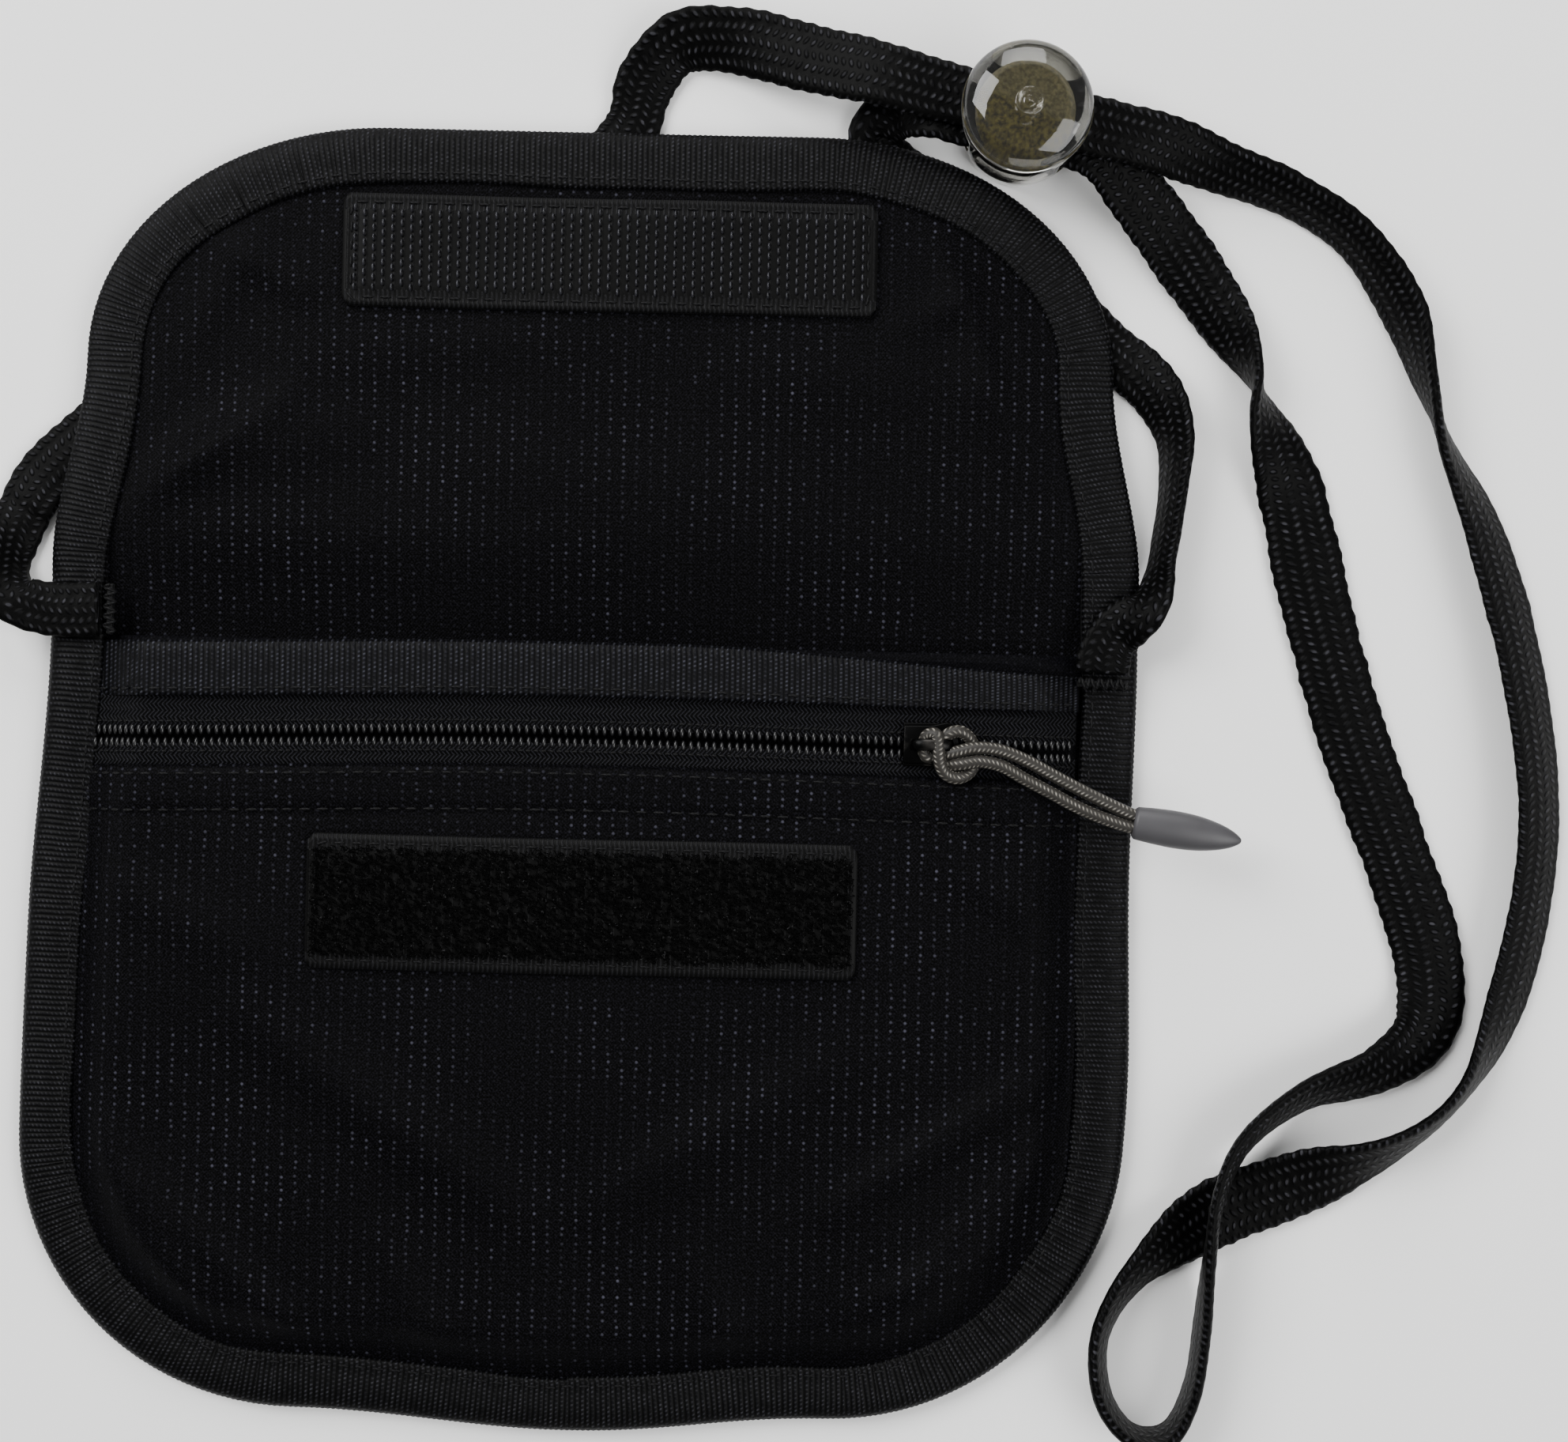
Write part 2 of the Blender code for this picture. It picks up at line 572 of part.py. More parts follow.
# ---- the zip's slider, its crown and the pull ---------------------------------------------------
half = SLIDER_WIDTH / 2
cheek = COIL_SPACE / 2 + COIL_WIDTH + GAP
slider_low = SLIDER_FLOOR
post = SLIDER_POST / 2
slider_profile = [
    (ZIP_Y - half, slider_low),
    (ZIP_Y + half, slider_low),
    (ZIP_Y + half, slider_low + SLIDER_PLATE),
    (ZIP_Y + post, slider_low + SLIDER_PLATE),
    (ZIP_Y + post, COIL_TOP + GAP),
    (ZIP_Y + cheek, COIL_TOP + GAP),
    (ZIP_Y + cheek, TAPE_Z + TAPE_CLOTH + GAP),
    (ZIP_Y + half, TAPE_Z + TAPE_CLOTH + GAP),
    (ZIP_Y + half, SLIDER_TOP),
    (ZIP_Y - half, SLIDER_TOP),
    (ZIP_Y - half, TAPE_Z + TAPE_CLOTH + GAP),
    (ZIP_Y - cheek, TAPE_Z + TAPE_CLOTH + GAP),
    (ZIP_Y - cheek, COIL_TOP + GAP),
    (ZIP_Y - post, COIL_TOP + GAP),
    (ZIP_Y - post, slider_low + SLIDER_PLATE),
    (ZIP_Y - half, slider_low + SLIDER_PLATE),
]
slider_ends = (SLIDER_X - SLIDER_LENGTH / 2, SLIDER_X + SLIDER_LENGTH / 2)
put("slider_body", extruded("slider_body", slider_profile, "X", *slider_ends), BLACK_METAL, ZIP_TRAVEL)

reach = CROWN_LENGTH / 2
crown_profile = [
    (SLIDER_X - reach, SLIDER_TOP + GAP),
    (SLIDER_X - reach + CROWN_FOOT, SLIDER_TOP + GAP),
    (SLIDER_X - reach + CROWN_FOOT, CROWN_INNER_TOP),
    (SLIDER_X + reach - CROWN_FOOT, CROWN_INNER_TOP),
    (SLIDER_X + reach - CROWN_FOOT, SLIDER_TOP + GAP),
    (SLIDER_X + reach, SLIDER_TOP + GAP),
    (SLIDER_X + reach, CROWN_TOP - CROWN_FOOT),
    (SLIDER_X + reach - CROWN_FOOT, CROWN_TOP),
    (SLIDER_X - reach + CROWN_FOOT, CROWN_TOP),
    (SLIDER_X - reach, CROWN_TOP - CROWN_FOOT),
]
crown_sides = (ZIP_Y - CROWN_WIDTH / 2, ZIP_Y + CROWN_WIDTH / 2)
put("slider_crown", extruded("slider_crown", crown_profile, "Y", *crown_sides), BLACK_METAL, ZIP_TRAVEL)

side_y = CROWN_WIDTH / 2 + GAP + PULL_CORD / 2
through = [
    (SLIDER_X * 1000 + 0.4, (ZIP_Y + side_y) * 1000, 0.0),
    (SLIDER_X * 1000, ZIP_Y * 1000, 0.0),
    (SLIDER_X * 1000 + 0.4, (ZIP_Y - side_y) * 1000, 0.0),
]
pull_route = smooth_route(PULL_LEG_UPPER + through + PULL_LEG_LOWER[::-1], 3)
pull_points = []
for x, y, rise in pull_route:
    squeeze = PULL_SQUEEZE if abs(x / 1000 - SLIDER_X) < CROWN_LENGTH / 4 else 1.0
    pull_points.append((Vector((x / 1000, y / 1000, PULL_Z + rise / 1000)), 0.0, squeeze))
put("pull_cord", cord_curve("pull_cord", pull_points, PULL_CORD / 2), GREY_CORD, PULL_PIVOT)

tip_mesh = bmesh.new()
tip_rings = []
tip_shape = [(0.0, 0.72), (0.03, 0.86), (0.12, 0.95), (0.35, 1.0), (0.6, 0.92), (0.8, 0.7), (0.93, 0.42), (0.99, 0.14)]
for share, fullness in tip_shape:
    ring = []
    for i in range(16):
        a = 2 * math.pi * i / 16
        place = Vector((
            share * TIP_LENGTH,
            fullness * TIP_WIDTH / 2 * math.cos(a),
            fullness * TIP_HEIGHT / 2 * math.sin(a),
        ))
        place = Matrix.Rotation(TIP_TURN, 3, "Z") @ place + Vector((*TIP_START, TIP_Z))
        ring.append(tip_mesh.verts.new(place))
    tip_rings.append(ring)
for a, b in zip(tip_rings, tip_rings[1:]):
    for i in range(16):
        j = (i + 1) % 16
        tip_mesh.faces.new((a[i], a[j], b[j], b[i]))
tip_mesh.faces.new(tip_rings[0])
tip_mesh.faces.new(tip_rings[-1])
put("pull_tip", finish_mesh("pull_tip", tip_mesh), GREY_RUBBER, PULL_PIVOT)

# ---- the cord lock ------------------------------------------------------------------------------
barrel_profile = [
    (0.0, 0.0),
    (LOCK_RADIUS * 0.88, 0.0),
    (LOCK_RADIUS * 0.97, LOCK_FLOOR * 0.4),
    (LOCK_RADIUS, LOCK_FLOOR),
    (LOCK_RADIUS, LOCK_HEIGHT - DOME_RIM),
    (LOCK_RADIUS - DOME_RIM / 2, LOCK_HEIGHT),
    (LOCK_BORE, LOCK_HEIGHT),
    (LOCK_BORE, LOCK_FLOOR),
    (0.0, LOCK_FLOOR),
]
stem_radius = LOCK_BORE - LOCK_RUNNING_GAP
stem_profile = [
    (0.0, STEM_BASE),
    (stem_radius, STEM_BASE),
    (stem_radius, DOME_UNDERSIDE - GAP),
    (0.0, DOME_UNDERSIDE - GAP),
]
dome_profile = [(0.0, DOME_UNDERSIDE), (DOME_RADIUS - DOME_RIM / 2, DOME_UNDERSIDE)]
for i in range(8):
    a = math.radians(90 * i / 8)
    height = (DOME_HEIGHT - DOME_RIM) * math.sin(a)
    dome_profile.append((DOME_RADIUS * math.cos(a) ** 0.8, DOME_UNDERSIDE + DOME_RIM + height))
dome_profile.append((0.0, DOME_UNDERSIDE + DOME_HEIGHT))


def cut_through(obj, low, high):
    """Cut the flat way for the cord through a turned piece, along the cord."""
    half_cut = LOCK_RADIUS * 1.5
    mesh = box(obj.name + "_cutter", (-half_cut, -LOCK_WINDOW / 2, low), (half_cut, LOCK_WINDOW / 2, high))
    cutter = bpy.data.objects.new(obj.name + "_cutter", mesh)
    cutter.location = (*LOCK_CENTRE, 0)
    cutter.rotation_euler = (0, 0, LOCK_TURN)
    cutter.hide_render = True
    cutter.display_type = "WIRE"
    bpy.context.collection.objects.link(cutter)
    cut = obj.modifiers.new("cord_way", "BOOLEAN")
    cut.operation = "DIFFERENCE"
    cut.solver = "EXACT"
    cut.object = cutter


barrel = put("lock_barrel", turned("lock_barrel", barrel_profile, LOCK_CENTRE), CLEAR, LOCK_TRAVEL)
cut_through(barrel, WINDOW_LOW, WINDOW_HIGH)
stem = put("lock_plunger", turned("lock_plunger", stem_profile, LOCK_CENTRE), OLIVE, LOCK_PRESS)
cut_through(stem, WINDOW_LOW, WINDOW_HIGH + PRESS_TRAVEL)
put("lock_dome", turned("lock_dome", dome_profile, LOCK_CENTRE), CLEAR, LOCK_PRESS)

spring_points = []
spring_low = LOCK_FLOOR + GAP + SPRING_WIRE / 2
spring_high = STEM_BASE - GAP - SPRING_WIRE / 2
for i in range(SPRING_TURNS * 12 + 1):
    a = 2 * math.pi * i / 12
    z = spring_low + (spring_high - spring_low) * i / (SPRING_TURNS * 12)
    x = LOCK_CENTRE[0] + SPRING_RADIUS * math.cos(a)
    y = LOCK_CENTRE[1] + SPRING_RADIUS * math.sin(a)
    spring_points.append((Vector((x, y, z)), 0.0, 1.0))
put("lock_spring", cord_curve("lock_spring", spring_points, SPRING_WIRE / 2), SPRING_STEEL, LOCK_TRAVEL)

# ---- the neck cord and the bars that hold its ends ----------------------------------------------
cord_points = []
for x, y, base, lean, width in smooth_route(CORD_ROUTE, 1):
    scaled = CORD_WIDTH * width
    tall = (scaled - CORD_THICKNESS * width) / 2 * abs(math.sin(math.radians(lean)))
    height = base / 1000 + CORD_LIFT + tall + CORD_THICKNESS * width / 2
    tilt = math.radians(90 + lean)
    cord_points.append((Vector((x / 1000, y / 1000, height)), tilt, width))
flat_half = (CORD_WIDTH - CORD_THICKNESS) / 2
put("neck_cord", cord_curve("neck_cord", cord_points, CORD_THICKNESS / 2, flat_half), BLACK_CORD)

bar_base = BINDING_TOP + GAP
left_end = Vector(CORD_ROUTE[0][:2]) / 1000
left_low = (left_end.x + BARTACK_GAP, left_end.y - BARTACK[1] / 2, bar_base)
left_high = (left_low[0] + BARTACK[0], left_end.y + BARTACK[1] / 2, bar_base + BARTACK[2])
put("bartack_left", box("bartack_left", left_low, left_high), THREAD)

right_end = Vector(CORD_ROUTE[-1][:2]) / 1000
right_high = (right_end.x + BARTACK[1] / 2, right_end.y - BARTACK_GAP, bar_base + BARTACK[2])
right_low = (right_end.x - BARTACK[1] / 2, right_high[1] - BARTACK[0], bar_base)
put("bartack_right", box("bartack_right", right_low, right_high), THREAD)
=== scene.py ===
"""Neck pouch wallet: cloth, tapes, zip, hook and loop, cord lock and braided neck cord.

The file goes through the pouch in the order it is sewn. Metres, +Z up, the pouch on its back with
its flap open.
"""
import math

import bmesh
import bpy
import numpy as np
from mathutils import Matrix, Vector


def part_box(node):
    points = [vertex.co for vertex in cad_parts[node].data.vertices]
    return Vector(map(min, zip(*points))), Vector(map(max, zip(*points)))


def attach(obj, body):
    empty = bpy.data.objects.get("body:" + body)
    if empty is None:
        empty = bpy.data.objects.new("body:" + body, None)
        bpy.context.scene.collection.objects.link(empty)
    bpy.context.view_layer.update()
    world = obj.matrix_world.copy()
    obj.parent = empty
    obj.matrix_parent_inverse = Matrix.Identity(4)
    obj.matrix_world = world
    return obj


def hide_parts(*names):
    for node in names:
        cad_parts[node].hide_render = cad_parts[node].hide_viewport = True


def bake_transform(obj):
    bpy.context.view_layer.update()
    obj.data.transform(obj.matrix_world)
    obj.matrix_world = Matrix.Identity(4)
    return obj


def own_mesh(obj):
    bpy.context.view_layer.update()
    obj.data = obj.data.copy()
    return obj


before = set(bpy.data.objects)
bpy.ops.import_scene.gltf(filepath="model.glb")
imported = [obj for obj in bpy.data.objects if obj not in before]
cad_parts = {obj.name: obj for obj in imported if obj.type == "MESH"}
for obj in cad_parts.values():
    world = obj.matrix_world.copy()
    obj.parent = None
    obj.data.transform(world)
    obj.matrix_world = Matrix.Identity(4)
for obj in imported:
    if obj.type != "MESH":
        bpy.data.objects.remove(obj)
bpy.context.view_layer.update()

MM = 0.001

# ---- the table, the light and the camera ---------------------------------------------------------
# A white table top and two large soft lamps either side of a camera that looks straight down.
# The cloth is nearly black, so what it shows is the lamps' glancing light on its threads, and highlights painted into
# its colours.


def srgb(code):
    """The linear colour of an sRGB hex code."""
    linear = []
    for i in (0, 2, 4):
        c = int(code[i:i + 2], 16) / 255
        linear.append(c / 12.92 if c <= 0.04045 else ((c + 0.055) / 1.055) ** 2.4)
    return (*linear, 1.0)


def add(tree, kind, settings, inputs):
    """Add a node. inputs maps a socket's name or number to a value or to another node's output."""
    node = tree.nodes.new(kind)
    for key, value in settings.items():
        setattr(node, key, value)
    for key, value in inputs.items():
        if isinstance(value, bpy.types.NodeSocket):
            tree.links.new(value, node.inputs[key])
        else:
            node.inputs[key].default_value = value
    return node


def blank_material(name, roughness, **sockets):
    """A material, its tree and its shader, with the sockets that are the same all over."""
    material = bpy.data.materials.new(name)
    material.use_nodes = True
    shader = material.node_tree.nodes["Principled BSDF"]
    shader.inputs["Roughness"].default_value = roughness
    for key, value in sockets.items():
        shader.inputs[key.replace("_", " ")].default_value = value
    return material, material.node_tree, shader


def link(tree, output, shader, socket):
    tree.links.new(output, shader.inputs[socket])


# Painted table top: a faint mottle, matt.
table_white, tree, shader = blank_material("painted_table_top", 0.9)
spots = add(tree, "ShaderNodeTexNoise", {}, {"Scale": 40.0, "Detail": 2.0})
tint = add(tree, "ShaderNodeValToRGB", {}, {"Fac": spots.outputs["Fac"]})
tint.color_ramp.elements[0].color = srgb("f7f7f6")
tint.color_ramp.elements[1].color = srgb("fcfcfc")
link(tree, tint.outputs["Color"], shader, "Base Color")

table_mesh = bpy.data.meshes.new("table")
reach = 3.0
table_mesh.from_pydata([(-reach, -reach, 0), (reach, -reach, 0), (reach, reach, 0), (-reach, reach, 0)],
    [], [(0, 1, 2, 3)])
table_mesh.materials.append(table_white)
table = bpy.data.objects.new("table", table_mesh)
table.location.z = -0.2 * MM
bpy.context.collection.objects.link(table)

for lamp_name, place, size, power in (
    ("lamp_left", (-0.55, 0.45, 0.75), 0.6, 12.5),
    ("lamp_right", (0.70, -0.25, 0.80), 0.7, 9.5),
    ("lamp_back", (0.05, 0.95, 0.55), 0.6, 7.0),
):
    lamp_data = bpy.data.lights.new(lamp_name, "AREA")
    lamp_data.size = size
    lamp_data.energy = power
    lamp = bpy.data.objects.new(lamp_name, lamp_data)
    lamp.location = place
    lamp.rotation_euler = (Vector((0.02, 0.0, 0.0)) - Vector(place)).to_track_quat("-Z", "Y").to_euler()
    bpy.context.collection.objects.link(lamp)

world = bpy.data.worlds.new("studio")
world.use_nodes = True
world.node_tree.nodes["Background"].inputs["Color"].default_value = srgb("ffffff")
world.node_tree.nodes["Background"].inputs["Strength"].default_value = 0.36
bpy.context.scene.world = world

CAMERA_HEIGHT = 0.380
CAMERA_OVER = (29.0 * MM, 9.5 * MM)
CAMERA_LENS = 60.12
CAMERA_ROLL = math.radians(1.3)
camera_data = bpy.data.cameras.new("camera")
camera_data.lens = CAMERA_LENS
camera_data.sensor_width = 36.0
camera_data.clip_start = 0.01
camera = bpy.data.objects.new("camera", camera_data)
camera.location = (*CAMERA_OVER, CAMERA_HEIGHT)
camera.rotation_euler = (0, 0, CAMERA_ROLL)
bpy.context.collection.objects.link(camera)
bpy.context.scene.camera = camera

# ---- the cloth: one length of nylon for the back and the flap ------------------------------------
# The back and the flap are one piece of thin woven nylon that rolls over at the fold. It lies flat
# under the pocket and in slack, creased waves on the flap.
BODY_WIDTH = 160 * MM
FOLD_WIDTH = 156.6 * MM
FLAP_WIDTH = 147.6 * MM
BOTTOM_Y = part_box("body_binding")[0][1]
FLAP_TIP_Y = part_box("flap_binding")[1][1]
FOLD_Y = BOTTOM_Y + 123 * MM
BOTTOM_CORNER = (40 * MM, 39 * MM)
BOTTOM_BOW = 2.5 * MM
FLAP_CORNER = (42.8 * MM, 33.5 * MM)
NYLON_THICKNESS = 0.45 * MM
TAPE_WIDTH = 8 * MM


def ease(t):
    t = np.clip(t, 0.0, 1.0)
    return t * t * (3 - 2 * t)


def settled(x, y):
    """Soft cloth never lies square: the flap sits a little to one side, the bottom to the other."""
    aside = 1.4 * MM * ease((y + 20 * MM) / (40 * MM))
    aside = aside - 2.6 * MM * ease((-y - 35 * MM) / (48 * MM)) * np.sign(x) * ease(
        np.abs(x) / (40 * MM)) * (x > 0)
    return x + aside


def half_outline():
    """The right half of the pouch's edge, from the bottom round to the tip of the flap."""
    points = []
    corner_x = BODY_WIDTH / 2 - BOTTOM_CORNER[0]
    corner_y = BOTTOM_Y + BOTTOM_BOW + BOTTOM_CORNER[1]
    for i in range(12):
        t = i / 12
        points.append((corner_x * t, BOTTOM_Y + BOTTOM_BOW * (1 - math.cos(math.pi * t)) / 2))
    for i in range(25):
        a = math.radians(-90 + 90 * i / 24)
        points.append((corner_x + BOTTOM_CORNER[0] * math.cos(a), corner_y + BOTTOM_CORNER[1] * math.sin(a)))
    for i in range(1, 25):
        t = i / 24
        points.append((BODY_WIDTH / 2 - (BODY_WIDTH - FOLD_WIDTH) / 2 * ease(t),
            corner_y + (FOLD_Y - corner_y) * t))
    flap_corner_y = FLAP_TIP_Y - FLAP_CORNER[1]
    for i in range(1, 13):
        t = i / 12
        half = (FOLD_WIDTH + (FLAP_WIDTH - FOLD_WIDTH) * ease(t)) / 2
        points.append((half, FOLD_Y + (flap_corner_y - FOLD_Y) * t))
    for i in range(1, 25):
        a = math.radians(90 * i / 24)
        points.append((
            FLAP_WIDTH / 2 - FLAP_CORNER[0] * (1 - math.cos(a)),
            flap_corner_y + FLAP_CORNER[1] * math.sin(a),
        ))
    for i in range(1, 7):
        points.append(((FLAP_WIDTH / 2 - FLAP_CORNER[0]) * (1 - i / 6), FLAP_TIP_Y))
    return np.array(points)


def full_outline():
    """The whole edge, anticlockwise from the middle of the bottom, without a repeated point."""
    right = half_outline()
    left = right[-2:0:-1] * np.array([-1, 1])
    ring = np.vstack([right, left])
    ring[:, 0] = settled(ring[:, 0], ring[:, 1])
    return ring


def resampled(ring, step, closed=True):
    """The points of a path at even steps along it, and how far along each is."""
    path = np.vstack([ring, ring[:1]]) if closed else ring
    along = np.concatenate([[0], np.cumsum(np.linalg.norm(np.diff(path, axis=0), axis=1))])
    count = max(int(round(along[-1] / step)), 8)
    at = np.linspace(0, along[-1], count + 1)
    if closed:
        at = at[:-1]
    return np.column_stack([np.interp(at, along, path[:, k]) for k in range(path.shape[1])]), at


def inward(ring):
    """Unit normals of an anticlockwise ring, pointing to its inside."""
    along = np.roll(ring, -1, axis=0) - np.roll(ring, 1, axis=0)
    along /= np.linalg.norm(along, axis=1)[:, None]
    return np.column_stack([-along[:, 1], along[:, 0]])


def edge_distance(x, y, low_y=-1.0, high_y=1.0):
    """How far each point lies from the pouch's edge, between two heights on it."""
    ring, _ = resampled(full_outline(), 2 * MM)
    ring = ring[(ring[:, 1] > low_y) & (ring[:, 1] < high_y)]
    flat = np.column_stack([x.ravel(), y.ravel()])
    best = np.full(len(flat), 9.0)
    for start in range(0, len(ring), 64):
        part = ring[start:start + 64]
        gap = np.linalg.norm(flat[:, None, :] - part[None, :, :], axis=2).min(axis=1)
        best = np.minimum(best, gap)
    return best.reshape(x.shape)


def crease(x, y, start, end, width, height):
    """The height of one soft fold that runs from start to end, in millimetres."""
    ax, ay = start[0] * MM, start[1] * MM
    bx, by = end[0] * MM, end[1] * MM
    length2 = (bx - ax) ** 2 + (by - ay) ** 2
    t = ((x - ax) * (bx - ax) + (y - ay) * (by - ay)) / length2
    tc = np.clip(t, 0, 1)
    away = np.hypot(x - ax - tc * (bx - ax), y - ay - tc * (by - ay))
    return height * MM * np.exp(-(away / (width * MM)) ** 2) * np.sin(np.pi * (0.15 + 0.7 * tc))


def ripples(x, y, seed, size, height):
    """A gentle unevenness of the given size, the same on every run."""
    draws = np.random.default_rng(seed)
    total = np.zeros_like(x)
    for _ in range(9):
        turn = draws.uniform(0, math.pi)
        scale = size * MM * draws.uniform(0.7, 1.6)
        phase = draws.uniform(0, 2 * math.pi)
        total += np.sin((x * math.cos(turn) + y * math.sin(turn)) * 2 * math.pi / scale + phase)
    return total / 9 * height * MM


def grid_mesh(name, points, uv, wall=0.0, around=False, along=False):
    """A mesh from rows of points. wall gives a sheet its thickness, downwards from its face.

    around joins each row's ends and along joins the last row to the first; a tube that is closed
    around but open along gets its two ends filled.
    """
    rows, cols = points.shape[:2]
    verts = points.reshape(-1, 3)
    coords = uv.reshape(-1, 2)
    faces = []
    corner_uv = []

    def quad(a, b, c, d, ua, ub, uc, ud):
        faces.append((a, b, c, d))
        corner_uv.extend((ua, ub, uc, ud))

    step = [float(uv[0, -1, 0] - uv[0, -2, 0]), 0.0] if not around else [0.0,
        float(uv[0, -1, 1] - uv[0, -2, 1])]
    if wall:
        dr = np.gradient(points, axis=0)
        dc = np.gradient(points, axis=1)
        normal = np.cross(dc, dr)
        normal /= np.linalg.norm(normal, axis=2)[:, :, None] + 1e-12
        verts = np.vstack([verts, (points - normal * wall).reshape(-1, 3)])
        coords = np.vstack([coords, coords])
    count = rows * cols
    row_range = range(rows if along else rows - 1)
    col_range = range(cols if around else cols - 1)
    for r in row_range:
        r2 = (r + 1) % rows
        for c in col_range:
            c2 = (c + 1) % cols
            a, b, d, e = r * cols + c, r * cols + c2, r2 * cols + c2, r2 * cols + c
            ua, ub, ud, ue = coords[a], coords[b], coords[d], coords[e]
            if around and c2 == 0:
                ub, ud = ua + step, ue + step
            quad(a, b, d, e, ua, ub, ud, ue)
            if wall:
                quad(e + count, d + count, b + count, a + count, ue, ud, ub, ua)
    if wall:
        rim = [r * cols for r in range(rows)]
        for c in range(cols - 1):
            quad(c + count, c + 1 + count, c + 1, c, coords[c], coords[c + 1], coords[c + 1], coords[c])
            top = (rows - 1) * cols
            quad(top + c, top + c + 1, top + c + 1 + count, top + c + count,
                 coords[top + c], coords[top + c + 1], coords[top + c + 1], coords[top + c])
        for a, b in zip(rim, rim[1:]):
            quad(a, b, b + count, a + count, coords[a], coords[b], coords[b], coords[a])
            a2, b2 = a + cols - 1, b + cols - 1
            quad(a2 + count, b2 + count, b2, a2, coords[a2], coords[b2], coords[b2], coords[a2])
    if around and not along:
        first = tuple(range(cols - 1, -1, -1))
        last = tuple((rows - 1) * cols + c for c in range(cols))
        faces.extend((first, last))
        corner_uv.extend(coords[list(first)])
        corner_uv.extend(coords[list(last)])
    mesh = bpy.data.meshes.new(name)
    mesh.from_pydata([tuple(v) for v in verts], [], faces)
    layer = mesh.uv_layers.new(name="lay")
    layer.data.foreach_set("uv", np.array(corner_uv, dtype=np.float32).ravel())
    mesh.update()
    return mesh


def put(name, mesh, material, smooth=True):
    """Add a finished mesh as a piece with its material."""
    piece = bpy.data.objects.new(name, mesh)
    bpy.context.collection.objects.link(piece)
    mesh.materials.clear()
    mesh.materials.append(material)
    if smooth:
        mesh.shade_smooth()
    return piece


def lay_grid(low_y, high_y, margin, rows, cols, dense_low=False, dense_high=False):
    """Rows of (x, y) that fill the pouch's outline between two heights, margin inside its edge."""
    ring, _ = resampled(full_outline(), 1 * MM)
    inner = ring + inward(ring) * margin
    right = inner[inner[:, 0] > 0]
    left = inner[inner[:, 0] <= 0]
    right = right[np.argsort(right[:, 1])]
    left = left[np.argsort(left[:, 1])]
    t = np.linspace(0, 1, rows)
    if dense_low:
        t = t ** 1.6
    if dense_high:
        t = 1 - (1 - t) ** 1.5
    y = low_y + (high_y - low_y) * t
    x_right = np.interp(y, right[:, 1], right[:, 0])
    x_left = np.interp(y, left[:, 1], left[:, 0])
    across = np.linspace(0, 1, cols)
    x = x_left[:, None] + (x_right - x_left)[:, None] * across[None, :]
    return x, np.repeat(y[:, None], cols, axis=1)


def cloth_uv(x, y):
    """Cloth coordinates in decimetres, so a pattern's pitch can be given in real sizes."""
    return np.stack([x * 10, y * 10], axis=-1)
